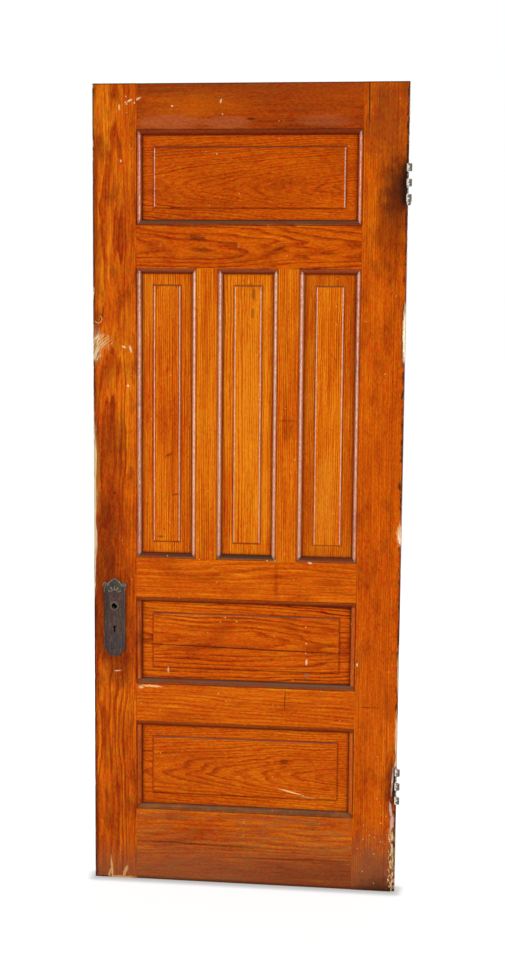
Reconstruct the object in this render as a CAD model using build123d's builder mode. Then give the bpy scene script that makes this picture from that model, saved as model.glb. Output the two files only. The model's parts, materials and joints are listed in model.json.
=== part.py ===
from build123d import *
from math import cos, radians, sin, sqrt
import os

# A six-panel interior door leaf: two stiles, five rails and two mullions with a quirked ovolo worked on
# their edges, coped and tenoned together round six raised panels that float in grooves. A mortise lock
# is let into the lock stile between two ornamented plates, and two hinge leaves into the hinge stile.
# The origin is the middle of the leaf's bottom edge, X runs from the lock edge to the hinge edge,
# Y from the front face to the back face, and Z up. All lengths are in millimetres.

os.makedirs("parts", exist_ok=True)

# The leaf
door_width = 762.0
door_height = 1981.0
door_thickness = 35.0
arris_radius = 1.5

# Flat faces of the framing members, between their mouldings
stile_face = 108.0
top_rail_face = 109.0
frieze_rail_face = 104.0
lock_rail_face = 100.0
cross_rail_face = 97.0
bottom_rail_face = 185.0
mullion_face = 51.0

# Heights of the wide openings, face edge to face edge; the upright openings take what is left
top_opening = 226.0
middle_opening = 220.0
bottom_opening = 228.0

# The moulded edge: a quirk, then a quarter-round down to a thin lip beside the panel groove
quirk_depth = 1.5
quirk_width = 1.5
lip_thickness = 1.25
groove_width = 9.5
groove_depth = 11.0

# Mortise and tenon joints
rail_tenon_length = 50.0
rail_tenon_shoulder = 12.0
mullion_tenon_length = 30.0
mullion_tenon_shoulder = 8.0
tenon_end_gap = 1.0
joint_clearance = 0.1

# Raised panels: a tongue in the groove, a gently rising margin, a stepped quarter-round and a flat field
panel_clearance = 0.2
panel_edge_gap = 2.0
panel_tongue_show = 2.0
panel_margin = 29.0
panel_margin_rise = 1.0
panel_step_quirk = 0.6
panel_step_radius = 4.0

# Lock position: the knob below the lock rail's lower edge, the key below the knob
backset = 52.0
knob_below_rail = 24.0
key_drop = 54.0
key_post_radius = 3.5
key_bit_width = 3.6
key_slot_length = 13.0
keyhole_clearance = 1.5

# Lock case, cap and front
case_thickness = 16.0
case_wall = 2.0
cap_thickness = 2.0
case_front_wall = 3.0
case_behind_hub = 31.0
case_below_key = 24.0
pocket_clearance = 0.5
front_thickness = 3.0
front_width = 22.0
front_overhang = 18.0
front_lug_height = 6.0
front_lug_width = 6.0
lock_play = 0.2

# Hub that the knob spindle turns, with one arm in a slot of the latch's tail
hub_radius = 10.0
hub_journal_radius = 8.0
journal_clearance = 0.05
spindle_square = 6.5
spindle_hole_radius = 5.2
hub_half_turn = 25.0
hub_arm_width = 3.0
hub_arm_engagement = 3.5
hub_arm_tip_radius = 2.8
hub_arm_thickness = 4.0
arm_slot_play = 0.4

# Latch: a bevelled head and a tail over the hub, with a hairpin spring behind it
latch_height = 19.0
latch_recess = 0.3
latch_head_length = 26.0
latch_riser_length = 6.0
latch_nose_land = 1.5
latch_bevel_length = 10.0
tail_gap = 1.5
tail_bridge = 3.5
tail_behind_hub = 14.0
spring_thickness = 0.7
spring_width = 6.0
spring_leg_overlap = 2.0
latch_pad_length = 8.0
latch_pad_reach = 30.0

# Dead bolt: a square head and a thin tail, slotted for its guide stud and notched for its flat spring
bolt_above_key = 7.0
bolt_height = 16.0
bolt_recess = 0.3
bolt_head_length = 30.0
bolt_travel = 12.7
bolt_tail_thickness = 4.0
bolt_tail_end_wall = 3.5
bolt_stud_reach = 2.0
bolt_stud_radius = 2.5
bolt_stud_drop = 5.0
bolt_stud_proud = 1.0
talon_width = 10.0
talon_depth = 5.0
detent_notch_side = 4.0
detent_reach = 12.0
detent_spring_thickness = 0.7
detent_spring_width = 6.0
detent_spring_wing = 4.0
detent_lug_reach = 10.0
detent_lug_rise = 12.0
detent_lug_length = 6.0
detent_lug_height = 6.0

# Posts that take the cap's screws
cap_post_radius = 3.5
upper_post_reach = 22.0
upper_post_rise = 2.0
lower_post_reach = 20.0
lower_post_rise = 12.0

# Lock plates: a straight body, a gabled crown between two round ears, and a foot that narrows to a rounded end
plate_width = 54.0
plate_thickness = 2.0
plate_above_knob = 71.0
plate_below_knob = 127.0
plate_body_above_knob = 52.0
plate_body_below_knob = 106.0
crown_width = 61.0
gable_base_width = 38.0
gable_shoulder_width = 30.0
gable_shoulder_above_knob = 60.0
crown_ear_radius = 7.0
foot_end_width = 22.0
foot_end_radius = 7.0
plate_corner_radius = 1.2
plate_rim_width = 2.4
plate_rim_height = 0.8
knob_hole_radius = 7.2
collar_radius = 11.4
collar_height = 2.5
collar_chamfer = 1.0
inner_border_width = 36.0
inner_border_rise = 30.0
inner_border_drop = 92.0
inner_border_line = 1.4
inner_border_height = 0.6
relief_height = 1.1
crown_fan_rise = 31.5
foot_fan_drop = 94.0
fan_reach = 13.0
fan_spread = 130.0
fan_petals = 5
petal_length = 11.0
petal_width = 4.2
ear_boss_radius = 3.4
ear_eye_radius = 1.4

# Screws: head and shank radii, height of the countersunk head, and length
screw_clearance = 0.05
screw_slot_width = 0.9
screw_slot_depth = 0.8
screw_rim = 0.3
screw_tip_length = 3.0
hinge_screw_head_radius = 4.2
hinge_screw_radius = 2.2
hinge_screw_head_height = 2.3
hinge_screw_length = 25.0
front_screw_head_radius = 3.8
front_screw_radius = 2.0
front_screw_head_height = 2.2
front_screw_length = 22.0
plate_screw_head_radius = 3.2
plate_screw_radius = 1.7
plate_screw_head_height = 1.7
plate_screw_length = 13.0
cap_screw_head_radius = 2.9
cap_screw_radius = 1.5
cap_screw_head_height = 1.6
cap_screw_length = 9.0
plate_screw_rise = 60.0
plate_screw_drop = 120.0

# Hinge leaves: three knuckles of five on each, standing proud of the front face
hinge_height = 89.0
upper_hinge_below_top = 235.0
lower_hinge_height = 274.0
hinge_leaf_thickness = 2.6
hinge_leaf_setback = 5.0
hinge_axis_out = 2.0
hinge_axis_proud = 6.5
knuckle_radius = 6.3
knuckle_bore_radius = 3.2
knuckle_count = 5
hinge_play = 0.3
hinge_ball_radius = 5.0
hinge_ball_drop = 3.5
hinge_tip_stem = 6.0
hinge_screw_inset = 14.0
hinge_screw_stagger = 5.5

# Splinters lost from the hinge stile's front arris: height and length as shares of the leaf's height,
# depth as a share of its thickness
arris_chip_shares = [
    (0.7000, 0.066, 0.070),
    (0.4560, 0.030, 0.110),
    (0.1960, 0.056, 0.070),
    (0.0860, 0.044, 0.080),
    (0.0390, 0.050, 0.110),
    (0.0060, 0.030, 0.150),
]
arris_chip_tilt = 25.0

# One overrun for all cuts that pass through a face
overrun = 1.0

# Planes of the leaf
left_edge = -door_width / 2
right_edge = door_width / 2
front_face = -door_thickness / 2
back_face = door_thickness / 2

# The moulding's sizes that follow from the thickness
ovolo_radius = back_face - quirk_depth - lip_thickness - groove_width / 2
sticking_width = quirk_width + ovolo_radius
lip_height = groove_width / 2 + lip_thickness
groove_floor = sticking_width - groove_depth

# Rails and openings, from the bottom up
cross_rail_low = bottom_rail_face + bottom_opening
lock_rail_low = cross_rail_low + cross_rail_face + middle_opening
lock_rail_high = lock_rail_low + lock_rail_face
top_rail_low = door_height - top_rail_face
frieze_rail_low = top_rail_low - top_opening - frieze_rail_face
upright_opening = frieze_rail_low - lock_rail_high
opening_left = left_edge + stile_face
opening_right = right_edge - stile_face
opening_width = opening_right - opening_left
upright_width = (opening_width - 2 * mullion_face) / 3

# Lock planes and heights
lock_x = left_edge + backset
hub_height = lock_rail_low - knob_below_rail
lock_half = case_thickness / 2
case_floor = -lock_half + case_wall
cap_seat = lock_half - cap_thickness
cavity_depth = cap_seat - case_floor
bolt_thickness = cavity_depth - 2 * lock_play
bolt_middle = (cap_seat + case_floor) / 2

# The latch tail, drawn from the hub's axis
tail_low = hub_radius + tail_gap
hub_arm_reach = tail_low + hub_arm_engagement
tail_slot_top = hub_arm_reach + hub_arm_tip_radius + arm_slot_play
tail_high = tail_slot_top + tail_bridge
latch_travel = 2 * hub_arm_reach * sin(radians(hub_half_turn))
latch_tip = latch_recess - backset
latch_back = latch_head_length - backset
case_front = front_thickness - backset
case_high = tail_high + tail_gap + case_wall
case_low = -key_drop - case_below_key
bolt_low = -key_drop + bolt_above_key
bolt_high = bolt_low + bolt_height
bolt_tip = bolt_recess - backset
bolt_shoulder = bolt_head_length - backset
bolt_tail_end = bolt_stud_reach + bolt_travel + bolt_stud_radius + bolt_tail_end_wall
bolt_stud_height = bolt_high - bolt_stud_drop
front_lug_heights = [
    (bolt_high - latch_height / 2) / 2,
    (bolt_low + case_low) / 2,
]
cap_posts = [
    (upper_post_reach, upper_post_rise),
    (-lower_post_reach, case_low + lower_post_rise),
]


def write(part, name):
    """Labels a finished piece and writes it out under its name."""
    part.label = name
    export_step(part, f"parts/{name}.step")


def block(low, high, mode=Mode.ADD):
    """A box between two corners of the leaf, in the part being built."""
    middle = tuple((a + b) / 2 for a, b in zip(low, high))
    with Locations(middle):
        Box(*(b - a for a, b in zip(low, high)), mode=mode)


# Framing members


def sticking(side, edge):
    """Section of the quirked ovolo on one side of a member, from the face's edge to the sight line."""
    with BuildSketch() as moulding:
        with BuildLine():
            Polyline(
                (side * edge, 0),
                (side * edge, back_face - quirk_depth),
                (side * (edge + quirk_width), back_face - quirk_depth),
            )
            CenterArc((side * (edge + quirk_width), lip_height), ovolo_radius, 0 if side > 0 else 90, 90)
            Line((side * (edge + sticking_width), lip_height), (side * (edge + sticking_width), 0))
            mirror(about=Plane.XZ)
        make_face()
    return moulding.sketch


def member_section(face_width, moulded_sides):
    """Section of a member, face width along X and thickness along Y, moulded and grooved on the sides given."""
    with BuildSketch() as section:
        Rectangle(face_width, door_thickness)
        plain = section.vertices().filter_by(lambda v: (1 if v.X > 0 else -1) not in moulded_sides)
        if plain:
            fillet(plain, arris_radius)
        for side in moulded_sides:
            add(sticking(side, face_width / 2))
            with Locations((side * (face_width / 2 + groove_floor + groove_depth / 2), 0)):
                Rectangle(groove_depth, groove_width, mode=Mode.SUBTRACT)
    return section.sketch


def coping_cutter(plane, section, length):
    """A member fattened by the joint clearance, which cuts the end of whatever is coped over it."""
    with BuildPart() as cutter:
        with BuildSketch(plane):
            add(section)
            offset(amount=joint_clearance, kind=Kind.INTERSECTION)
        extrude(amount=length)
    return cutter.part


lock_stile_plane = Plane((left_edge + stile_face / 2, 0, 0), x_dir=(1, 0, 0), z_dir=(0, 0, 1))
hinge_stile_plane = Plane((right_edge - stile_face / 2, 0, 0), x_dir=(-1, 0, 0), z_dir=(0, 0, 1))
stile_section = member_section(stile_face, [1])
stile_cutters = [
    coping_cutter(plane, stile_section, door_height) for plane in (lock_stile_plane, hinge_stile_plane)
]

# Each rail: its lower face edge, its face height and its moulded edges, 1 above and -1 below
rails = {
    "bottom_rail": (0, bottom_rail_face, [1]),
    "cross_rail": (cross_rail_low, cross_rail_face, [-1, 1]),
    "lock_rail": (lock_rail_low, lock_rail_face, [-1, 1]),
    "frieze_rail": (frieze_rail_low, frieze_rail_face, [-1, 1]),
    "top_rail": (top_rail_low, top_rail_face, [-1]),
}
mullion_centres = [
    opening_left + upright_width + mullion_face / 2,
    opening_right - upright_width - mullion_face / 2,
]
tenon_half = groove_width / 2 - joint_clearance
mortise_half = groove_width / 2


def rail_plane(low, face):
    """Plane at a rail's left end, its X up the rail and its normal along the door."""
    return Plane((opening_left, 0, low + face / 2), x_dir=(0, 0, 1), z_dir=(1, 0, 0))


def rail_tenons(low, face, half, slack, reach, mode):
    """Both tenons of a rail, or with slack and a longer reach the mortises that take them."""
    bottom = low + rail_tenon_shoulder - slack
    top = low + face - rail_tenon_shoulder + slack
    block((opening_left - reach, -half, bottom), (opening_left + sticking_width, half, top), mode)
    block((opening_right - sticking_width, -half, bottom), (opening_right + reach, half, top), mode)


def mullion_tenons(centre, half, slack, reach, mode):
    """Both tenons of a mullion, or with slack and a longer reach the mortises that take them."""
    left = centre - mullion_face / 2 + mullion_tenon_shoulder - slack
    right = centre + mullion_face / 2 - mullion_tenon_shoulder + slack
    block((left, -half, lock_rail_high - reach), (right, half, lock_rail_high + sticking_width), mode)
    block((left, -half, frieze_rail_low - sticking_width), (right, half, frieze_rail_low + reach), mode)


rail_cutters = {}
for name, (low, face, edges) in rails.items():
    section = member_section(face, edges)
    rail_cutters[name] = coping_cutter(rail_plane(low, face), section, opening_width)
    with BuildPart() as rail:
        with BuildSketch(rail_plane(low, face)):
            add(section)
        extrude(amount=opening_width)
        add(stile_cutters, mode=Mode.SUBTRACT)
        rail_tenons(low, face, tenon_half, 0, rail_tenon_length, Mode.ADD)
        if name in ("lock_rail", "frieze_rail"):
            for centre in mullion_centres:
                reach = mullion_tenon_length + tenon_end_gap
                mullion_tenons(centre, mortise_half, joint_clearance, reach, Mode.SUBTRACT)
    write(rail.part, name)

for name, centre in zip(("left_mullion", "right_mullion"), mullion_centres):
    with BuildPart() as mullion:
        with BuildSketch(Plane((centre, 0, lock_rail_high), x_dir=(1, 0, 0), z_dir=(0, 0, 1))):
            add(member_section(mullion_face, [-1, 1]))
        extrude(amount=upright_opening)
        add([rail_cutters["lock_rail"], rail_cutters["frieze_rail"]], mode=Mode.SUBTRACT)
        mullion_tenons(centre, tenon_half, 0, mullion_tenon_length, Mode.ADD)
    write(mullion.part, name)

# Raised panels

tongue_half = groove_width / 2 - panel_clearance
margin_half = tongue_half + panel_margin_rise
field_half = margin_half + panel_step_quirk + panel_step_radius
middle_x = (opening_left + opening_right) / 2
cross_rail_high = cross_rail_low + cross_rail_face
frieze_rail_high = frieze_rail_low + frieze_rail_face

# Each panel: the middle of its opening, and the opening's width and height between face edges
panels = {
    "top_panel": (middle_x, frieze_rail_high + top_opening / 2, opening_width, top_opening),
    "middle_panel": (middle_x, cross_rail_high + middle_opening / 2, opening_width, middle_opening),
    "bottom_panel": (middle_x, bottom_rail_face + bottom_opening / 2, opening_width, bottom_opening),
}
for position, name in enumerate(("left_panel", "centre_panel", "right_panel")):
    upright_x = opening_left + upright_width / 2 + position * (upright_width + mullion_face)
    panels[name] = (upright_x, lock_rail_high + upright_opening / 2, upright_width, upright_opening)

for name, (x, z, wide, tall) in panels.items():
    sight_wide = wide - 2 * sticking_width
    sight_tall = tall - 2 * sticking_width
    tongue_reach = groove_depth - panel_edge_gap
    panel_plane = Plane((x, 0, z), x_dir=(1, 0, 0), z_dir=(0, -1, 0))
    with BuildPart() as panel:
        with BuildSketch(panel_plane):
            Rectangle(sight_wide + 2 * tongue_reach, sight_tall + 2 * tongue_reach)
        extrude(amount=tongue_half)
        with BuildSketch(panel_plane.offset(tongue_half)):
            Rectangle(sight_wide - 2 * panel_tongue_show, sight_tall - 2 * panel_tongue_show)
        with BuildSketch(panel_plane.offset(margin_half)):
            Rectangle(sight_wide - 2 * panel_margin, sight_tall - 2 * panel_margin)
        loft()
        with BuildSketch(panel_plane.offset(margin_half)):
            Rectangle(sight_wide - 2 * panel_margin, sight_tall - 2 * panel_margin)
        extrude(amount=field_half - margin_half)
        fillet(panel.faces().sort_by(Axis.Y)[0].edges(), panel_step_radius)
        mirror(about=Plane.XZ)
    write(panel.part, name)

# Screws


def screw(head_radius, radius, head_height, length, slack=0):
    """A slotted countersunk screw, its head's top at the origin and its tip below; slack makes its hole."""
    with BuildPart() as body:
        with BuildSketch(Plane.XZ):
            with BuildLine():
                Polyline(
                    (0, overrun if slack else 0),
                    (head_radius + slack, overrun if slack else 0),
                    (head_radius + slack, -screw_rim),
                    (radius + slack, -head_height - slack),
                    (radius + slack, screw_tip_length - length),
                    (0, -length - slack),
                    close=True,
                )
            make_face()
        revolve(axis=Axis.Z)
        if not slack:
            block(
                (-head_radius, -screw_slot_width / 2, -screw_slot_depth),
                (head_radius, screw_slot_width / 2, 0),
                Mode.SUBTRACT,
            )
    return body.part


def place(planes):
    """Locations of a set of planes."""
    return Locations(*(plane.location for plane in planes))


hinge_screw = (hinge_screw_head_radius, hinge_screw_radius, hinge_screw_head_height, hinge_screw_length)
front_screw = (front_screw_head_radius, front_screw_radius, front_screw_head_height, front_screw_length)
plate_screw = (plate_screw_head_radius, plate_screw_radius, plate_screw_head_height, plate_screw_length)
cap_screw = (cap_screw_head_radius, cap_screw_radius, cap_screw_head_height, cap_screw_length)

# Hinge leaves

barrel_x = right_edge + hinge_axis_out
barrel_y = front_face - hinge_axis_proud
leaf_back = back_face - hinge_leaf_setback
leaf_inside = right_edge - hinge_leaf_thickness
knuckle_length = hinge_height / knuckle_count
hinge_heights = {"upper": door_height - upper_hinge_below_top, "lower": lower_hinge_height}


def hinge_screw_planes(height):
    """Where a leaf's three screws go in: the end ones towards the back, the middle one towards the front."""
    leaf_middle = (front_face + leaf_back) / 2
    places = [
        (leaf_middle + hinge_screw_stagger, height + hinge_height / 2 - hinge_screw_inset),
        (leaf_middle - hinge_screw_stagger, height),
        (leaf_middle + hinge_screw_stagger, height - hinge_height / 2 + hinge_screw_inset),
    ]
    return [Plane((right_edge, y, z), x_dir=(0, 1, 0), z_dir=(1, 0, 0)) for y, z in places]


for name, height in hinge_heights.items():
    leaf_low = height - hinge_height / 2
    leaf_high = height + hinge_height / 2
    with BuildPart() as hinge_leaf:
        block((leaf_inside, barrel_y, leaf_low), (right_edge, leaf_back, leaf_high))
        with BuildSketch(Plane.XY.offset(leaf_low)):
            with Locations((barrel_x, barrel_y)):
                Circle(knuckle_radius)
        extrude(amount=hinge_height)
        # Gaps for the two knuckles of the missing leaf
        for gap in range(1, knuckle_count, 2):
            gap_low = leaf_low + gap * knuckle_length - hinge_play
            block(
                (leaf_inside - knuckle_radius, barrel_y - knuckle_radius - overrun, gap_low),
                (
                    barrel_x + knuckle_radius + overrun,
                    barrel_y + knuckle_radius + hinge_play,
                    gap_low + knuckle_length + 2 * hinge_play,
                ),
                Mode.SUBTRACT,
            )
        with BuildSketch(Plane.XY.offset(leaf_high)):
            with Locations((barrel_x, barrel_y)):
                Circle(knuckle_bore_radius)
        extrude(amount=-hinge_height, mode=Mode.SUBTRACT)
        with place(hinge_screw_planes(height)):
            add(screw(*hinge_screw, slack=screw_clearance), mode=Mode.SUBTRACT)
    write(hinge_leaf.part, f"{name}_hinge_leaf")

    with BuildPart() as hinge_screws:
        with place(hinge_screw_planes(height)):
            add(screw(*hinge_screw))
    write(hinge_screws.part, f"{name}_hinge_screws")

# The upper hinge still has the ball tip under its lowest knuckle; the lower one has lost it
tip_seat = hinge_heights["upper"] - hinge_height / 2
with BuildPart() as upper_hinge_tip:
    with Locations((barrel_x, barrel_y, tip_seat - hinge_ball_drop)):
        Sphere(hinge_ball_radius)
    split(bisect_by=Plane.XY.offset(tip_seat - joint_clearance), keep=Keep.BOTTOM)
    with BuildSketch(Plane.XY.offset(tip_seat - hinge_ball_drop)):
        with Locations((barrel_x, barrel_y)):
            Circle(knuckle_bore_radius - journal_clearance)
    extrude(amount=hinge_ball_drop + hinge_tip_stem)
write(upper_hinge_tip.part, "upper_hinge_tip")

# Lock plates

ear_x = crown_width / 2 - crown_ear_radius
ear_places = [(-ear_x, plate_body_above_knob), (ear_x, plate_body_above_knob)]


def plate_plane(side):
    """Plane on a face of the leaf at the knob's axis, facing out: side -1 is the front, 1 the back."""
    return Plane((lock_x, side * back_face, hub_height), x_dir=(-side, 0, 0), z_dir=(0, side, 0))


def plate_outline(inset):
    """Straight body, gable between two ears above, and a narrowing foot below, drawn in by the inset."""
    half_body = plate_width / 2 - inset
    half_base = gable_base_width / 2 - inset
    half_shoulder = gable_shoulder_width / 2 - inset
    half_foot = foot_end_width / 2 - inset
    body_high = plate_body_above_knob - inset
    shoulder = gable_shoulder_above_knob - inset
    foot_end = inset - plate_below_knob
    with BuildSketch() as shape:
        Polygon(
            (-half_body, body_high),
            (-half_body, -plate_body_below_knob),
            (-half_foot, foot_end),
            (half_foot, foot_end),
            (half_body, -plate_body_below_knob),
            (half_body, body_high),
            align=None,
        )
        Polygon(
            (-half_base, body_high - crown_ear_radius),
            (half_base, body_high - crown_ear_radius),
            (half_base, body_high),
            (half_shoulder, shoulder),
            (0, plate_above_knob - inset),
            (-half_shoulder, shoulder),
            (-half_base, body_high),
            align=None,
        )
        with Locations(*ear_places):
            Circle(crown_ear_radius - inset)
        foot_corners = shape.vertices().group_by(Axis.Y)[0]
        fillet(foot_corners, foot_end_radius - inset)
        other_corners = shape.vertices().filter_by(lambda corner: corner.Y > -plate_body_below_knob - inset)
        fillet(other_corners, plate_corner_radius)
    return shape.sketch


def keyhole(slack):
    """The keyhole's outline below the knob's axis, larger by the slack where it passes through wood or case."""
    with BuildSketch() as hole:
        with Locations((0, -key_drop)):
            Circle(key_post_radius + slack)
        with Locations((0, -key_drop - (key_slot_length + slack) / 2)):
            Rectangle(key_bit_width + 2 * slack, key_slot_length + slack)
    return hole.sketch


def plate_screw_planes(side):
    """Where a lock plate's two screws go in, above and below the lock case."""
    plane = plate_plane(side).offset(plate_thickness)
    rise = plane.y_dir * plate_screw_rise
    drop = plane.y_dir * plate_screw_drop
    return [
        Plane(plane.origin + rise, x_dir=plane.x_dir, z_dir=plane.z_dir),
        Plane(plane.origin - drop, x_dir=plane.x_dir, z_dir=plane.z_dir),
    ]


outline = plate_outline(0)
rim_inside = plate_outline(plate_rim_width)
fan_places = []
for fan_height, middle_angle in ((crown_fan_rise, 90), (-foot_fan_drop, 270)):
    fan = PolarLocations(fan_reach, fan_petals, middle_angle - fan_spread / 2, fan_spread, True, True)
    fan_places.extend(Location((0, fan_height, 0)) * spot for spot in fan)
for name, side in (("front", -1), ("back", 1)):
    plane = plate_plane(side)
    with BuildPart() as escutcheon:
        with BuildSketch(plane):
            add(outline)
        extrude(amount=plate_thickness)
        with BuildSketch(plane.offset(plate_thickness)):
            add(outline)
            add(rim_inside, mode=Mode.SUBTRACT)
        extrude(amount=plate_rim_height)
        # A thin border line round the plain middle of the plate
        with BuildSketch(plane.offset(plate_thickness)):
            with Locations((0, (inner_border_rise - inner_border_drop) / 2)):
                Rectangle(inner_border_width, inner_border_rise + inner_border_drop)
                Rectangle(
                    inner_border_width - 2 * inner_border_line,
                    inner_border_rise + inner_border_drop - 2 * inner_border_line,
                    mode=Mode.SUBTRACT,
                )
        extrude(amount=inner_border_height)
        # Fans of petals in the crown and the foot, and a boss in each ear
        for petal in fan_places:
            with BuildSketch(plane.offset(plate_thickness) * petal):
                SlotOverall(petal_length, petal_width)
            extrude(amount=relief_height)
        with BuildSketch(plane.offset(plate_thickness)):
            with Locations(*ear_places):
                Circle(ear_boss_radius)
                Circle(ear_eye_radius, mode=Mode.SUBTRACT)
        extrude(amount=relief_height)
        # The knob's collar
        with BuildSketch(plane.offset(plate_thickness)):
            Circle(collar_radius)
        extrude(amount=collar_height)
        chamfer(escutcheon.faces().sort_by(Axis.Y)[-1 if side > 0 else 0].edges(), collar_chamfer)
        with BuildSketch(plane.offset(-overrun)):
            Circle(knob_hole_radius)
            add(keyhole(0))
        extrude(amount=plate_thickness + collar_height + 2 * overrun, mode=Mode.SUBTRACT)
        with place(plate_screw_planes(side)):
            add(screw(*plate_screw, slack=screw_clearance), mode=Mode.SUBTRACT)
    write(escutcheon.part, f"{name}_escutcheon")

    with BuildPart() as plate_screws:
        with place(plate_screw_planes(side)):
            add(screw(*plate_screw))
    write(plate_screws.part, f"{name}_escutcheon_screws")

# Mortise lock


def lock_plane(y):
    """Plane across the lock at depth y, drawn from the hub's axis, X along the door, facing the front."""
    return Plane((lock_x, y, hub_height), x_dir=(1, 0, 0), z_dir=(0, -1, 0))


def lock_block(low, high, mode=Mode.ADD):
    """A box between two corners given from the hub's axis."""
    block(
        (lock_x + low[0], low[1], hub_height + low[2]),
        (lock_x + high[0], high[1], hub_height + high[2]),
        mode,
    )


def spanning_rectangle(left, right, low, high, mode=Mode.ADD):
    """A rectangle between two corners of the sketch being drawn."""
    with Locations(((left + right) / 2, (low + high) / 2)):
        Rectangle(right - left, high - low, mode=mode)


def bolt_openings(inside):
    """Cuts the ways of the latch and the dead bolt from the door's edge to the distance inside it."""
    half = bolt_thickness / 2 + lock_play
    for low, high in ((-latch_height / 2, latch_height / 2), (bolt_low, bolt_high)):
        lock_block(
            (-backset - overrun, bolt_middle - half, low - lock_play),
            (inside, bolt_middle + half, high + lock_play),
            Mode.SUBTRACT,
        )


def front_screw_planes():
    """Where the lock front's two screws go into the stile, above and below the case."""
    heights = (case_high + front_overhang / 2, case_low - front_overhang / 2)
    return [
        Plane((left_edge, 0, hub_height + height), x_dir=(0, 1, 0), z_dir=(-1, 0, 0)) for height in heights
    ]


cap_screw_planes = [
    Plane((lock_x + x, lock_half, hub_height + z), x_dir=(1, 0, 0), z_dir=(0, 1, 0)) for x, z in cap_posts
]

with BuildPart() as lock_case:
    with BuildSketch(lock_plane(cap_seat)):
        spanning_rectangle(case_front, case_behind_hub, case_low, case_high)
    extrude(amount=cavity_depth + case_wall)
    with BuildSketch(lock_plane(cap_seat)):
        spanning_rectangle(
            case_front + case_front_wall,
            case_behind_hub - case_wall,
            case_low + case_wall,
            case_high - case_wall,
        )
    extrude(amount=cavity_depth, mode=Mode.SUBTRACT)
    # Posts for the cap's screws
    with BuildSketch(lock_plane(cap_seat)):
        with Locations(*cap_posts):
            Circle(cap_post_radius)
    extrude(amount=cavity_depth)
    # Guide stud of the dead bolt
    with BuildSketch(lock_plane(bolt_middle + bolt_tail_thickness / 2 + bolt_stud_proud)):
        with Locations((bolt_stud_reach, bolt_stud_height)):
            Circle(bolt_stud_radius)
    extrude(amount=bolt_middle + bolt_tail_thickness / 2 + bolt_stud_proud - case_floor)
    # Lug that grips the end of the flat spring
    with BuildSketch(lock_plane(bolt_middle + detent_spring_width / 2)):
        with Locations((detent_lug_reach, bolt_high + detent_lug_rise)):
            Rectangle(detent_lug_length, detent_lug_height)
            Rectangle(detent_lug_length, detent_spring_thickness + 2 * joint_clearance, mode=Mode.SUBTRACT)
    extrude(amount=bolt_middle + detent_spring_width / 2 - case_floor)
    # Pad that the latch's tail slides on
    with BuildSketch(lock_plane(bolt_middle - hub_arm_thickness / 2 - lock_play)):
        spanning_rectangle(-latch_pad_reach, latch_pad_length - latch_pad_reach, tail_low, tail_high)
    extrude(amount=bolt_middle - hub_arm_thickness / 2 - lock_play - case_floor)
    # Lugs that are riveted into the front
    for height in front_lug_heights:
        lock_block(
            (-backset, -front_lug_width / 2, height - front_lug_height / 2),
            (case_front, front_lug_width / 2, height + front_lug_height / 2),
        )
    with BuildSketch(lock_plane(case_floor)):
        Circle(hub_journal_radius + journal_clearance)
        add(keyhole(lock_play))
    extrude(amount=case_wall, mode=Mode.SUBTRACT)
    bolt_openings(case_front + case_front_wall)
    with place(cap_screw_planes):
        add(screw(*cap_screw, slack=screw_clearance), mode=Mode.SUBTRACT)
write(lock_case.part, "lock_case")

with BuildPart() as lock_cap:
    with BuildSketch(lock_plane(lock_half)):
        spanning_rectangle(case_front, case_behind_hub, case_low, case_high)
        Circle(hub_journal_radius + journal_clearance, mode=Mode.SUBTRACT)
        add(keyhole(lock_play), mode=Mode.SUBTRACT)
    extrude(amount=cap_thickness)
    with place(cap_screw_planes):
        add(screw(*cap_screw, slack=screw_clearance), mode=Mode.SUBTRACT)
write(lock_cap.part, "lock_cap")

with BuildPart() as lock_cap_screws:
    with place(cap_screw_planes):
        add(screw(*cap_screw))
write(lock_cap_screws.part, "lock_cap_screws")

with BuildPart() as lock_front:
    lock_block(
        (-backset, -front_width / 2, case_low - front_overhang),
        (case_front, front_width / 2, case_high + front_overhang),
    )
    bolt_openings(case_front)
    for height in front_lug_heights:
        lock_block(
            (
                -backset,
                -front_lug_width / 2 - joint_clearance,
                height - front_lug_height / 2 - joint_clearance,
            ),
            (
                case_front,
                front_lug_width / 2 + joint_clearance,
                height + front_lug_height / 2 + joint_clearance,
            ),
            Mode.SUBTRACT,
        )
    with place(front_screw_planes()):
        add(screw(*front_screw, slack=screw_clearance), mode=Mode.SUBTRACT)
write(lock_front.part, "lock_front")

with BuildPart() as lock_front_screws:
    with place(front_screw_planes()):
        add(screw(*front_screw))
write(lock_front_screws.part, "lock_front_screws")

# The hub stands turned as far as it goes, with the latch drawn in
arm_shift = hub_arm_reach * sin(radians(hub_half_turn))
with BuildPart() as lock_hub:
    with BuildSketch(lock_plane(cap_seat - lock_play)):
        Circle(hub_radius)
    extrude(amount=cavity_depth - 2 * lock_play)
    with BuildSketch(lock_plane(lock_half)):
        Circle(hub_journal_radius)
    extrude(amount=case_thickness)
    with BuildSketch(lock_plane(bolt_middle + hub_arm_thickness / 2)):
        with Locations(Location((0, 0, 0), (0, 0, -hub_half_turn))):
            with Locations((0, hub_arm_reach / 2)):
                Rectangle(hub_arm_width, hub_arm_reach)
            with Locations((0, hub_arm_reach)):
                Circle(hub_arm_tip_radius)
    extrude(amount=hub_arm_thickness)
    with BuildSketch(lock_plane(lock_half)):
        Rectangle(spindle_square, spindle_square)
    extrude(amount=case_thickness, mode=Mode.SUBTRACT)
write(lock_hub.part, "lock_hub")

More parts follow.
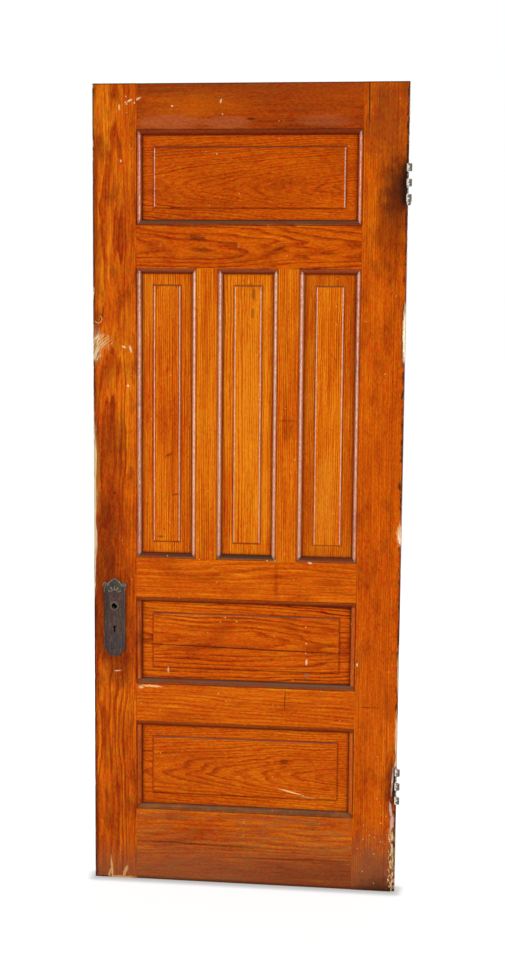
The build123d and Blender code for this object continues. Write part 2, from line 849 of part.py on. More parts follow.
with BuildPart() as latch_bolt:
    # Head, bevelled towards the back so that it rides over a strike as the door shuts
    with BuildSketch(Plane((lock_x, bolt_middle, hub_height - latch_height / 2))):
        with BuildLine():
            Polyline(
                (latch_tip, -bolt_thickness / 2),
                (latch_tip, latch_nose_land - bolt_thickness / 2),
                (latch_tip + latch_bevel_length, bolt_thickness / 2),
                (latch_back, bolt_thickness / 2),
                (latch_back, -bolt_thickness / 2),
                close=True,
            )
        make_face()
    extrude(amount=latch_height)
    # Tail, with the open slot that the hub's arm works in
    with BuildSketch(lock_plane(bolt_middle + hub_arm_thickness / 2)):
        spanning_rectangle(latch_back - latch_riser_length, latch_back, 0, tail_high)
        spanning_rectangle(latch_back - latch_riser_length, tail_behind_hub, tail_low, tail_high)
        slot_half = hub_arm_tip_radius + arm_slot_play
        spanning_rectangle(
            arm_shift - slot_half, arm_shift + slot_half, tail_low, tail_slot_top, Mode.SUBTRACT
        )
    extrude(amount=hub_arm_thickness)
write(latch_bolt.part, "latch_bolt")

# Hairpin spring, bent from flat strip, between the latch's tail and the back of the case
spring_offset = spring_thickness / 2 + joint_clearance
spring_left = tail_behind_hub + spring_offset
spring_right = case_behind_hub - case_wall - spring_offset
spring_bend = tail_low + spring_leg_overlap
with BuildPart() as latch_spring:
    with BuildSketch(lock_plane(bolt_middle + spring_width / 2)):
        with BuildLine():
            Line((spring_left, tail_high), (spring_left, spring_bend))
            CenterArc(((spring_left + spring_right) / 2, spring_bend), (spring_right - spring_left) / 2, 180, 180)
            Line((spring_right, spring_bend), (spring_right, tail_high))
        trace(line_width=spring_thickness)
    extrude(amount=spring_width)
write(latch_spring.part, "latch_spring")

with BuildPart() as dead_bolt:
    with BuildSketch(lock_plane(bolt_middle + bolt_thickness / 2)):
        spanning_rectangle(bolt_tip, bolt_shoulder, bolt_low, bolt_high)
    extrude(amount=bolt_thickness)
    with BuildSketch(lock_plane(bolt_middle + bolt_tail_thickness / 2)):
        spanning_rectangle(bolt_shoulder, bolt_tail_end, bolt_low, bolt_high)
        # Slot along the guide stud
        with Locations((bolt_stud_reach + bolt_travel / 2, bolt_stud_height)):
            SlotCenterToCenter(bolt_travel, 2 * (bolt_stud_radius + lock_play), mode=Mode.SUBTRACT)
        # Talon that the key's bit turns in
        with Locations((bolt_travel / 2, bolt_low + talon_depth / 2)):
            Rectangle(talon_width, talon_depth, mode=Mode.SUBTRACT)
        # Two notches for the flat spring, drawn in and thrown
        for shift in (0, bolt_travel):
            with Locations(Location((shift - detent_reach, bolt_high, 0), (0, 0, 45))):
                Rectangle(detent_notch_side, detent_notch_side, mode=Mode.SUBTRACT)
    extrude(amount=bolt_tail_thickness)
write(dead_bolt.part, "dead_bolt")

# Flat spring, bent to a point that lies in the bolt's notch
notch_depth = detent_notch_side / sqrt(2)
dip = bolt_high - notch_depth + (detent_spring_thickness / 2 + lock_play) * sqrt(2)
lug_height = bolt_high + detent_lug_rise
with BuildPart() as bolt_spring:
    with BuildSketch(lock_plane(bolt_middle + detent_spring_width / 2)):
        with BuildLine():
            Polyline(
                (-detent_reach - detent_spring_wing, dip + detent_spring_wing),
                (-detent_reach, dip),
                (-detent_reach + detent_spring_wing, dip + detent_spring_wing),
                (detent_lug_reach - detent_lug_length, lug_height),
                (detent_lug_reach + detent_lug_length / 2, lug_height),
            )
        trace(line_width=detent_spring_thickness)
    extrude(amount=detent_spring_width)
write(bolt_spring.part, "bolt_spring")

# Stiles, cut for everything that is let into them


def stile_mortises():
    """Cuts the mortises of all five rails."""
    for low, face, edges in rails.values():
        reach = rail_tenon_length + tenon_end_gap
        rail_tenons(low, face, mortise_half, joint_clearance, reach, Mode.SUBTRACT)


with BuildPart() as lock_stile:
    with BuildSketch(lock_stile_plane):
        add(stile_section)
    extrude(amount=door_height)
    stile_mortises()
    # Pocket of the lock case, and the sinking of its front
    lock_block(
        (-backset - overrun, -lock_half - pocket_clearance, case_low - pocket_clearance),
        (case_behind_hub + pocket_clearance, lock_half + pocket_clearance, case_high + pocket_clearance),
        Mode.SUBTRACT,
    )
    front_half = front_width / 2 + joint_clearance
    front_end = front_overhang + joint_clearance
    lock_block(
        (-backset - overrun, -front_half, case_low - front_end),
        (case_front, front_half, case_high + front_end),
        Mode.SUBTRACT,
    )
    # Ways for the spindle and the key, right through
    with BuildSketch(lock_plane(back_face + overrun)):
        Circle(spindle_hole_radius)
        add(keyhole(keyhole_clearance))
    extrude(amount=door_thickness + 2 * overrun, mode=Mode.SUBTRACT)
    with place(front_screw_planes()):
        add(screw(*front_screw, slack=screw_clearance), mode=Mode.SUBTRACT)
    with place(plate_screw_planes(-1) + plate_screw_planes(1)):
        add(screw(*plate_screw, slack=screw_clearance), mode=Mode.SUBTRACT)
write(lock_stile.part, "lock_stile")

with BuildPart() as hinge_stile:
    with BuildSketch(hinge_stile_plane):
        add(stile_section)
    extrude(amount=door_height)
    stile_mortises()
    for height in hinge_heights.values():
        block(
            (
                leaf_inside - joint_clearance,
                front_face - overrun,
                height - hinge_height / 2 - joint_clearance,
            ),
            (
                right_edge + overrun,
                leaf_back + joint_clearance,
                height + hinge_height / 2 + joint_clearance,
            ),
            Mode.SUBTRACT,
        )
        with place(hinge_screw_planes(height)):
            add(screw(*hinge_screw, slack=screw_clearance), mode=Mode.SUBTRACT)
    # Long shallow hollows where the front arris is splintered, wider on the face than on the edge
    chip_out = Vector(sin(radians(arris_chip_tilt)), -cos(radians(arris_chip_tilt)), 0)
    for height_share, length_share, depth_share in arris_chip_shares:
        chip_length = length_share * door_height
        chip_depth = depth_share * door_thickness
        chip_radius = chip_length**2 / (8 * chip_depth) + chip_depth / 2
        chip_middle = Vector(right_edge, front_face, height_share * door_height)
        chip_middle += chip_out * (chip_radius - chip_depth)
        chip_plane = Plane(chip_middle, x_dir=(0, 0, 1), z_dir=chip_out.cross(Vector(0, 0, 1)))
        with BuildSketch(chip_plane):
            Circle(chip_radius)
        extrude(amount=door_thickness, both=True, mode=Mode.SUBTRACT)
write(hinge_stile.part, "hinge_stile")
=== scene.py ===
"""Looks of the old six-panel door leaf: varnished softwood, worn lock plates, chipped hinge leaves."""

import json
import math

import bpy
from mathutils import Euler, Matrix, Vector


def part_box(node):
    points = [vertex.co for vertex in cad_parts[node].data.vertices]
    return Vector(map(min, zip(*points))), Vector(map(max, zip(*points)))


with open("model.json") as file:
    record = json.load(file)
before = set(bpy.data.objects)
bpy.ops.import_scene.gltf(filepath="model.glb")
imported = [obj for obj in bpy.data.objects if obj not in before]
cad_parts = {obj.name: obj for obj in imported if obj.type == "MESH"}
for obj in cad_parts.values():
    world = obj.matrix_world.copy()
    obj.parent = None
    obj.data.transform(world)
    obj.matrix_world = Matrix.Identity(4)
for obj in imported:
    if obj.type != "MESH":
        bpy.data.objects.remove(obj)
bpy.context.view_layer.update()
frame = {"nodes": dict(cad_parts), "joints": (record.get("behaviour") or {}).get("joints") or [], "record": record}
nodes = frame["nodes"]

MM = 0.001

# The leaf and its panels
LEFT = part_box("lock_stile")[0].x
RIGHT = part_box("hinge_stile")[1].x
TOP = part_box("lock_stile")[1].z
LEAF_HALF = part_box("lock_stile")[1].y
PANEL_TONGUE = 9 * MM
STICKING_WIDTH = 11.5 * MM
MARGIN_WIDTH = 29 * MM
UPRIGHT_PANELS = ("left_panel", "centre_panel", "right_panel")
PANELS = ("top_panel", "middle_panel", "bottom_panel", *UPRIGHT_PANELS)

# The lock plate and the knob's axis
PLATE_LOW, PLATE_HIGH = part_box("front_escutcheon")
PLATE_TOP = PLATE_HIGH.z
PLATE_BOTTOM = PLATE_LOW.z
PLATE_MIDDLE = (PLATE_LOW.x + PLATE_HIGH.x) / 2
PLATE_THICKNESS = 2 * MM
PLATE_FACE = LEAF_HALF + PLATE_THICKNESS
KNOB_HEIGHT = next(joint["pos_m"][2] for joint in frame["joints"] if joint["name"] == "hub_turn")

# Gloss, and dust with painted sheen, on mouldings: how far a face leans sideways, and the heights between which
# they fade in
LEAN_START = 0.08
LEAN_FULL = 0.25
GLOSS_START = 0.70
GLOSS_FULL = 0.86

# Fractal noise keeps to about the middle quarter of 0 to 1, so it is spread before it sets a distance
NOISE_SPREAD = 4
BITE_SPREAD = 5

# Ragged patches: lumps in a patch's half size, and how far the noise moves for each metre along X and Z
PATCH_LUMPS = 2.6
PATCH_SHIFT_X = 97
PATCH_SHIFT_Z = 61

# Scale along Y that takes the depth through the leaf out of a distance
THROUGH_LEAF = 1e6

# Places of a mix node's colour sockets, whose names its other sockets share
MIX_UNDER = 6
MIX_OVER = 7
MIX_RESULT = 2


def srgb(red, green, blue):
    """Linear colour of an 8-bit sRGB one, with alpha."""
    channels = []
    for value in (red, green, blue):
        share = value / 255
        channels.append(share / 12.92 if share <= 0.04045 else ((share + 0.055) / 1.055) ** 2.4)
    return (*channels, 1.0)


# Colours of the old varnish, the bare wood and the dirt, some also used as painted shade and painted sheen
YELLOW_ORANGE = srgb(232, 142, 30)
ORANGE = srgb(212, 102, 6)
RED_BROWN = srgb(150, 50, 3)
DEEP_RED = srgb(108, 34, 4)
SMOKY = srgb(128, 56, 18)
LAPPED_VARNISH = srgb(186, 98, 54)
DULL_BROWN = srgb(166, 100, 48)
SCUFFED_BROWN = srgb(130, 78, 50)
GRIME_AND_SHADE = srgb(40, 20, 10)
DUST = srgb(118, 94, 76)
DIRTY_LEDGE = srgb(92, 60, 40)
HOLE_SHADE_BLACK = srgb(10, 6, 5)
BARE_WOOD = srgb(224, 170, 104)
CREAM = srgb(240, 212, 164)
PEACH = srgb(252, 196, 128)
PINK_WHITE = srgb(222, 188, 176)
OLIVE = srgb(84, 66, 36)
PALE_OLIVE = srgb(172, 124, 76)
MOULDING_DUST_AND_SHEEN = srgb(186, 130, 98)
OCHRE = srgb(168, 104, 30)
GREY = srgb(128, 112, 98)
SINGED = srgb(66, 28, 12)
VARNISH_STOPS = (
    (0.00, srgb(80, 24, 3)),
    (0.22, srgb(146, 48, 2)),
    (0.50, srgb(189, 74, 2)),
    (0.75, srgb(213, 94, 4)),
    (1.00, srgb(234, 134, 16)),
)

# Colours of the old metal, some of them used as painted light and shade
BRONZE = srgb(66, 45, 38)
RUBBED_BRONZE = srgb(80, 60, 50)
PLATE_LIT_SIDE = srgb(88, 70, 62)
PALE_BAND = srgb(98, 82, 76)
DARK_BAND = srgb(40, 22, 16)
BLUISH_FOOT = srgb(56, 55, 66)
PALE_SPECK = srgb(116, 94, 82)
DARK_SPECK = srgb(28, 20, 16)
CROWN_GROUND = srgb(50, 42, 36)
GREEN_CROWN = srgb(62, 76, 50)
PALE_RELIEF = srgb(168, 150, 138)
COLLAR = srgb(118, 94, 78)
DUST_AND_HIGHLIGHT_TOP = srgb(150, 120, 104)
HINGE_IRON = srgb(104, 94, 84)
RUBBED_HINGE = srgb(140, 128, 112)
WHITE_PAINT_AND_HIGHLIGHT = srgb(244, 238, 228)
LOCK_IRON = srgb(38, 33, 30)
RUBBED_IRON = srgb(70, 61, 54)
SCREW_STEEL = srgb(70, 60, 52)
RUBBED_SCREW = srgb(120, 106, 92)
SPRING_STEEL = srgb(96, 92, 88)
RUBBED_SPRING = srgb(150, 146, 140)


class Nodes:
    """A node tree, with short calls for the nodes used here."""

    def __init__(self, tree):
        self.tree = tree

    def node(self, kind, **settings):
        made = self.tree.nodes.new(kind)
        for key, value in settings.items():
            setattr(made, key, value)
        return made

    def feed(self, socket, value):
        """Links a socket to another, or sets its number or colour."""
        if isinstance(value, bpy.types.NodeSocket):
            self.tree.links.new(value, socket)
        else:
            socket.default_value = value

    def math(self, operation, a, b=0.0):
        made = self.node("ShaderNodeMath", operation=operation)
        self.feed(made.inputs[0], a)
        self.feed(made.inputs[1], b)
        return made.outputs[0]

    def add(self, a, b):
        return self.math("ADD", a, b)

    def minus(self, a, b):
        return self.math("SUBTRACT", a, b)

    def times(self, a, b):
        return self.math("MULTIPLY", a, b)

    def highest(self, a, b):
        return self.math("MAXIMUM", a, b)

    def unsigned(self, a):
        return self.math("ABSOLUTE", a)

    def inverse(self, mask):
        return self.minus(1.0, mask)

    def smooth(self, value, low, high):
        """0 at low, 1 at high, smooth between; high may be the lower one."""
        made = self.node("ShaderNodeMapRange", interpolation_type="SMOOTHSTEP")
        self.feed(made.inputs["Value"], value)
        made.inputs["From Min"].default_value = min(low, high)
        made.inputs["From Max"].default_value = max(low, high)
        made.inputs["To Min"].default_value = float(low > high)
        made.inputs["To Max"].default_value = float(low < high)
        return made.outputs["Result"]

    def vector(self, operation, a, b=(0.0, 0.0, 0.0)):
        made = self.node("ShaderNodeVectorMath", operation=operation)
        self.feed(made.inputs[0], a)
        self.feed(made.inputs[1], b)
        return made.outputs["Value"] if operation == "LENGTH" else made.outputs[0]

    def stretch(self, vector, scale, shift=(0.0, 0.0, 0.0)):
        return self.vector("ADD", self.vector("MULTIPLY", vector, scale), shift)

    def split(self, vector):
        made = self.node("ShaderNodeSeparateXYZ")
        self.feed(made.inputs[0], vector)
        return made.outputs

    def noise(self, vector, detail=2.0, roughness=0.5, output="Fac"):
        """Fractal noise about 0.5, one lump per unit of the vector."""
        made = self.node("ShaderNodeTexNoise")
        self.feed(made.inputs["Vector"], vector)
        made.inputs["Scale"].default_value = 1.0
        made.inputs["Detail"].default_value = detail
        made.inputs["Roughness"].default_value = roughness
        return made.outputs[output]

    def centred(self, noise):
        return self.minus(noise, 0.5)

    def seen_rays(self):
        """1 for rays that show the surface itself: straight, in a gloss or through something clear."""
        rays = self.node("ShaderNodeLightPath").outputs
        seen = self.highest(rays["Is Camera Ray"], rays["Is Glossy Ray"])
        return self.highest(seen, rays["Is Transmission Ray"])


class Shader(Nodes):
    """A material whose colour is laid up coat over coat."""

    def __init__(self, name):
        self.material = bpy.data.materials.new(name)
        self.material.use_nodes = True
        super().__init__(self.material.node_tree)
        self.surface = self.tree.nodes["Principled BSDF"]
        self.place = self.node("ShaderNodeTexCoord").outputs["Object"]
        self.x, self.y, self.z = self.split(self.place)
        normal = self.node("ShaderNodeNewGeometry").outputs["Normal"]
        self.across, _, self.up = self.split(normal)
        self.colour = None

    def blend(self, share, under, over):
        """Colour over another by a share from 0 to 1."""
        made = self.node("ShaderNodeMix", data_type="RGBA")
        self.feed(made.inputs["Factor"], share)
        self.feed(made.inputs[MIX_UNDER], under)
        self.feed(made.inputs[MIX_OVER], over)
        return made.outputs[MIX_RESULT]

    def paint(self, mask, colour, share=1.0):
        """Lays a colour over the shader's own one."""
        self.colour = self.blend(self.times(mask, share), self.colour, colour)

    def ramp(self, value, stops):
        made = self.node("ShaderNodeValToRGB")
        self.feed(made.inputs["Fac"], value)
        elements = made.color_ramp.elements
        while len(elements) < len(stops):
            elements.new(0.5)
        for element, (position, colour) in zip(elements, stops):
            element.position = position
            element.color = colour
        return made.outputs["Color"]

    def local(self, centre, turn=(0.0, 0.0, 0.0), scale=(1.0, 1.0, 1.0)):
        """The place seen from a centre, in axes turned by the angles and measured in units of the scale."""
        made = self.node("ShaderNodeMapping", vector_type="TEXTURE")
        self.feed(made.inputs["Vector"], self.place)
        made.inputs["Location"].default_value = centre
        made.inputs["Rotation"].default_value = turn
        made.inputs["Scale"].default_value = scale
        return made.outputs[0]

    def lumps(self, to_metre, shift=(0.0, 0.0, 0.0), detail=4.0):
        """Noise with so many lumps to a metre along X, Y and Z."""
        return self.noise(self.stretch(self.place, to_metre, shift), detail, roughness=0.6)

    def from_axis(self, x, z):
        """Distance from a line through the leaf, from face to face."""
        return self.vector("LENGTH", self.local((x, 0.0, z), scale=(1.0, THROUGH_LEAF, 1.0)))

    def line_at(self, distance, place, half_width):
        """1 along the line where the distance has the given value."""
        off = self.unsigned(self.minus(distance, place))
        return self.smooth(off, half_width, half_width * 0.3)

    def bump(self, height, strength, distance):
        made = self.node("ShaderNodeBump")
        made.inputs["Strength"].default_value = strength
        made.inputs["Distance"].default_value = distance
        self.feed(made.inputs["Height"], height)
        self.feed(self.surface.inputs["Normal"], made.outputs[0])


class BoardShader(Shader):
    """A board's material, with masks for the leaf's front and outer edges, and marks laid on the front."""

    def __init__(self, name):
        super().__init__(name)
        self.outer = self.smooth(self.unsigned(self.x), RIGHT - 1.0 * MM, RIGHT - 0.3 * MM)
        self.depth = self.add(self.y, LEAF_HALF)
        behind = self.times(self.outer, self.smooth(self.depth, 1 * MM, 5 * MM))
        self.front = self.times(self.smooth(self.y, 2 * MM, -2 * MM), self.inverse(behind))
        self.late = None
        self.fibre = None
        self.speck = None

    def gloss(self):
        """1 on the leaning sides of mouldings and raised fields, on the upper part of the leaf."""
        leaning = self.smooth(self.unsigned(self.across), LEAN_START, LEAN_FULL)
        return self.times(leaning, self.smooth(self.z, GLOSS_START, GLOSS_FULL))

    def beyond(self, middle, half):
        """Distance outside a rectangle seen from the front, below 0 inside it."""
        across = self.minus(self.unsigned(self.minus(self.x, middle[0])), half[0])
        high = self.minus(self.unsigned(self.minus(self.z, middle[1])), half[1])
        return self.highest(across, high)

    def patch(self, at, size, turn=0, ragged=0.5, soft=0.25):
        """Ragged patch on the front: middle in metres, half sizes in mm along X and Z, turn in degrees."""
        turned = (0.0, math.radians(turn), 0.0)
        spot = self.local((at[0], 0.0, at[1]), turned, (size[0] * MM, 1.0, size[1] * MM))
        shift = (at[0] * PATCH_SHIFT_X, 0.0, at[1] * PATCH_SHIFT_Z)
        lumps = self.stretch(spot, (PATCH_LUMPS, 0.0, PATCH_LUMPS), shift)
        wander = self.centred(self.noise(lumps, detail=4.0, roughness=0.65))
        reach = self.vector("LENGTH", self.vector("MULTIPLY", spot, (1.0, 0.0, 1.0)))
        reach = self.add(reach, self.times(wander, ragged * NOISE_SPREAD))
        return self.times(self.smooth(reach, 1.0 + soft, 1.0 - soft), self.front)

    def mark(self, at, size, colour, share, **shape):
        """Lays a colour over a ragged patch."""
        self.paint(self.patch(at, size, **shape), colour, share)

    def flecks(self, colour, share, cells, radius, density, within=1.0):
        """Sparse specks within a mask: cells to a metre, a speck's radius in cells, and its chance."""
        made = self.node("ShaderNodeTexVoronoi", voronoi_dimensions="2D")
        self.feed(made.inputs["Vector"], self.local((0.0, 0.0, 0.0), (math.radians(90), 0.0, 0.0)))
        made.inputs["Scale"].default_value = cells
        chance = self.split(made.outputs["Color"])[0]
        mask = self.times(self.smooth(chance, density, density * 0.9), self.front)
        mask = self.times(mask, within)
        specks = self.smooth(made.outputs["Distance"], radius, radius * 0.6)
        self.paint(self.times(mask, specks), colour, share)

    def scratched(self, at, size, turn, along, across, cover):
        """Patch broken into streaks turned by degrees, with lumps to a metre along and across them."""
        patch = self.patch(at, size, soft=0.4)
        run = self.local((at[0], 0.0, at[1]), (0.0, math.radians(turn), 0.0))
        grain = self.noise(self.stretch(run, (along, 0.0, across)), detail=3.0, roughness=0.6)
        return self.times(patch, self.smooth(grain, 0.62 - cover * 0.25, 0.7 - cover * 0.25))

    def worn_edge(self, distance, reach, across, high, seed):
        """Ragged wear that runs in from an edge by up to about the reach, with lumps to a metre."""
        lumps = self.stretch(self.place, (across, 0.0, high), (seed, 0.0, seed))
        bites = self.noise(lumps, detail=4.0, roughness=0.65)
        bite = self.times(self.centred(bites), reach * BITE_SPREAD)
        run = self.highest(distance, self.depth)
        return self.smooth(self.minus(run, bite), 0.8 * MM, -0.8 * MM)

    def mottle(self, colour, share, across, high, seed):
        """Cloudy stain over the whole front, with clouds to a metre across and high."""
        clouds = self.stretch(self.place, (across, 0.0, high), (seed, seed, 0.0))
        cloud = self.noise(clouds, detail=5.0, roughness=0.65)
        self.paint(self.times(self.smooth(cloud, 0.48, 0.68), self.front), colour, share)

    def side_dirt(self, edge):
        """Dark line along the front of the leaf's side, from the distance to it."""
        self.paint(self.times(self.smooth(edge, 4.5 * MM, 1.5 * MM), self.front), GRIME_AND_SHADE, 0.75)

    def top_dirt(self):
        """Dark line along the top of the front, and dust on the top edge."""
        self.paint(self.smooth(self.z, TOP - 4 * MM, TOP - 1 * MM), GRIME_AND_SHADE, 0.75)
        self.paint(self.times(self.smooth(self.z, TOP - 2 * MM, TOP - 1 * MM), self.up), DUST, 0.6)


def opening(panel):
    """Middle and half sizes of the opening that shows the panel."""
    low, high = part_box(panel)
    middle = ((low.x + high.x) / 2, (low.z + high.z) / 2)
    half = ((high.x - low.x) / 2 - PANEL_TONGUE, (high.z - low.z) / 2 - PANEL_TONGUE)
    return middle, half


def touches(name, panel):
    """Whether the board of that name borders the panel's opening."""
    low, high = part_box(name)
    near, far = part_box(panel)
    return low.x < far.x and near.x < high.x and low.z < far.z and near.z < high.z


# Turns that lay the log's axis along an upright or a level board
UPRIGHT = (0.0, math.radians(-90), 0.0)
LEVEL = (0.0, 0.0, 0.0)

# Lumps to a metre along the grain and across it, and across the rings
DRIFT_LUMPS = (3.0, 11.0)
FIBRE_LUMPS = (9.0, 480.0)
STREAK_LUMPS = (2.4, 120.0)
TONE_LUMPS = (2.4, 9.0)
PORE_LUMPS = (30.0, 700.0)
SPECK_LUMPS = (120.0, 330.0)
SMOKE_LUMPS = (2.0, 14.0)
RING_LUMPS = 60.0


def board(grain, pith, turn, rings, wander, contrast, tone, level, seed, smoke=0.0, streaks=1.0):
    """How a board lies in its log and how it is varnished.

    The axis of the grain, the pith's place, its turn in degrees from the board's length, the rings to a
    metre, how far the grain wanders in mm, how dark the rings are, how much the tone changes, how light the
    varnish is, a seed, and how smoky and how streaky the board is.
    """
    return {
        "grain": grain,
        "pith": pith,
        "turn": turn,
        "rings": rings,
        "wander": wander * MM,
        "contrast": contrast,
        "tone": tone,
        "level": level,
        "seed": seed,
        "smoke": smoke,
        "streaks": streaks,
    }


BOARDS = {
    "lock_stile": board(
        "Z", pith=(-0.355, 0.06, 0.2), turn=(0.7, 0.5), rings=190, wander=7,
        contrast=0.31, tone=0.9, level=0.75, seed=3, streaks=0.9,
    ),
    "hinge_stile": board(
        "Z", pith=(0.05, 0.06, 1.0), turn=(0.2, 0.3), rings=190, wander=4,
        contrast=0.16, tone=0.6, level=0.72, seed=11, streaks=0.8,
    ),
    "left_mullion": board(
        "Z", pith=(-0.42, 0.05, 1.2), turn=(0.1, 0.2), rings=230, wander=2,
        contrast=0.56, tone=0.9, level=0.93, seed=5, streaks=1.1,
    ),
    "right_mullion": board(
        "Z", pith=(0.35, 0.06, 1.2), turn=(0.1, -0.2), rings=230, wander=2,
        contrast=0.56, tone=0.9, level=0.87, seed=6, streaks=1.1,
    ),
    "left_panel": board(
        "Z", pith=(-0.55, 0.06, 1.2), turn=(0.2, 0.3), rings=220, wander=2,
        contrast=0.52, tone=0.8, level=0.85, seed=7, streaks=1.1,
    ),
    "centre_panel": board(
        "Z", pith=(-0.09, 0.06, 0.6), turn=(0.5, 0.4), rings=280, wander=3,
        contrast=0.52, tone=1.4, level=0.96, seed=8, streaks=1.3,
    ),
    "right_panel": board(
        "Z", pith=(0.30, 0.06, 0.9), turn=(0.8, -0.6), rings=260, wander=4,
        contrast=0.46, tone=1.0, level=0.85, seed=9, streaks=1.1,
    ),
    "top_rail": board(
        "X", pith=(0.0, 0.2, 1.97), turn=(0.3, 0.6), rings=150, wander=5,
        contrast=0.16, tone=0.7, level=0.56, seed=12, smoke=0.45, streaks=0.5,
    ),
    "frieze_rail": board(
        "X", pith=(0.1, 0.035, 1.594), turn=(0.6, 4.0), rings=120, wander=7,
        contrast=0.46, tone=0.6, level=0.66, seed=13, streaks=0.8,
    ),
    "lock_rail": board(
        "X", pith=(0.0, 0.20, 0.9), turn=(0.6, 1.0), rings=150, wander=5,
        contrast=0.20, tone=0.5, level=0.77, seed=14, streaks=0.8,
    ),
    "cross_rail": board(
        "X", pith=(0.0, 0.16, 0.3), turn=(0.5, 1.0), rings=150, wander=5,
        contrast=0.22, tone=0.5, level=0.75, seed=15, streaks=0.9,
    ),
    "bottom_rail": board(
        "X", pith=(0.0, 0.12, 0.22), turn=(0.4, 1.2), rings=130, wander=7,
        contrast=0.22, tone=1.2, level=0.75, seed=16, smoke=0.2,
    ),
    "top_panel": board(
        "X", pith=(0.32, 0.0, 1.735), turn=(0.0, -6.5), rings=200, wander=5,
        contrast=0.28, tone=0.6, level=0.66, seed=17, streaks=0.8,
    ),
    "middle_panel": board(
        "X", pith=(-0.1, 0.035, 0.625), turn=(0.6, 3.0), rings=120, wander=9,
        contrast=0.60, tone=0.7, level=0.70, seed=18, streaks=0.8,
    ),
    "bottom_panel": board(
        "X", pith=(0.30, 0.0, 0.285), turn=(0.0, -6.0), rings=170, wander=7,
        contrast=0.29, tone=0.7, level=0.75, seed=19, streaks=0.8,
    ),
}


def clean_wood(shader, cut):
    """Varnished board: growth rings that its faces cut through, fine fibres and uneven old varnish."""
    tilt, swing = (math.radians(angle) for angle in cut["turn"])
    base_turn = UPRIGHT if cut["grain"] == "Z" else LEVEL
    turn = (Euler(base_turn).to_matrix() @ Euler((0.0, tilt, swing)).to_matrix()).to_euler()
    log = shader.local(cut["pith"], turn)
    seed = (cut["seed"] * 3.1, cut["seed"] * 1.7, cut["seed"] * 0.9)

    def along(lumps):
        """The log's place stretched along the grain, moved by the board's seed."""
        return shader.stretch(log, (lumps[0], lumps[1], lumps[1]), seed)

    # Rings round the pith, wandering along the log, each with late wood of its own weight
    drift = shader.noise(along(DRIFT_LUMPS), detail=3.0, roughness=0.5, output="Color")
    drift = shader.vector("SUBTRACT", drift, (0.5, 0.5, 0.5))
    wander = cut["wander"] * NOISE_SPREAD
    drift = shader.vector("MULTIPLY", drift, (0.0, wander, wander))
    ring_place = shader.vector("MULTIPLY", shader.vector("ADD", log, drift), (0.0, 1.0, 1.0))
    radius = shader.vector("LENGTH", ring_place)
    uneven = shader.noise(shader.stretch(ring_place, (0.0, RING_LUMPS, RING_LUMPS), seed), detail=1.0)
    phase = shader.add(shader.times(radius, cut["rings"]), shader.times(uneven, 1.6))
    ring = shader.math("FRACT", phase)
    chance = shader.node("ShaderNodeTexWhiteNoise", noise_dimensions="1D")
    shader.feed(chance.inputs["W"], shader.add(shader.math("FLOOR", phase), cut["seed"] * 17.3))
    heavy = shader.add(shader.times(chance.outputs["Value"], 0.9), 0.3)
    shader.late = shader.times(shader.smooth(ring, 0.4, 0.85), shader.smooth(ring, 1.0, 0.93))

    shader.fibre = shader.noise(along(FIBRE_LUMPS), detail=3.0, roughness=0.7)
    shader.speck = shader.noise(along(SPECK_LUMPS), detail=2.0, roughness=0.6)
    streak = shader.noise(along(STREAK_LUMPS), detail=3.0, roughness=0.6)
    tone = shader.noise(along(TONE_LUMPS), detail=4.0, roughness=0.55)
    pore = shader.noise(along(PORE_LUMPS), detail=2.0, roughness=0.6)

    value = shader.add(cut["level"], shader.times(shader.centred(streak), 0.55 * cut["streaks"]))
    value = shader.add(value, shader.times(shader.centred(shader.fibre), 1.1 * cut["streaks"]))
    value = shader.add(value, shader.times(shader.centred(tone), cut["tone"]))
    broken = shader.add(shader.times(shader.smooth(streak, 0.3, 0.62), 0.7), 0.3)
    dark = shader.times(shader.times(shader.late, broken), heavy)
    value = shader.minus(value, shader.times(dark, cut["contrast"] * 1.35))
    value = shader.minus(value, shader.times(shader.smooth(pore, 0.56, 0.72), 0.2))
    shader.colour = shader.ramp(value, VARNISH_STOPS)
    if cut["smoke"]:
        smoke = shader.noise(along(SMOKE_LUMPS), detail=4.0, roughness=0.6)
        shader.paint(shader.smooth(smoke, 0.3, 0.7), SMOKY, cut["smoke"])


def soil_and_shade_panel(shader, panel):
    """Painted shade with some dirt along a panel's rim under the moulding and round its raised field's step, and
    dust with painted sheen on the field's leaning edge.
    """
    edge = shader.beyond(*opening(panel))
    # painted shade with some dirt: the panel darkens where it runs in under the moulding
    shader.paint(shader.smooth(edge, -8 * MM, 0.0), RED_BROWN, 0.5)
    shader.paint(shader.smooth(edge, -2.6 * MM, -0.6 * MM), GRIME_AND_SHADE, 0.75)
    field = shader.add(edge, MARGIN_WIDTH)
    # painted shade: a dark line in the step round the raised field
    shader.paint(shader.line_at(field, 1.2 * MM, 2 * MM), DEEP_RED, 0.5)
    # dust with painted sheen on leaning faces high on the leaf, where the lamps catch them
    shader.paint(shader.gloss(), MOULDING_DUST_AND_SHEEN, 0.6)


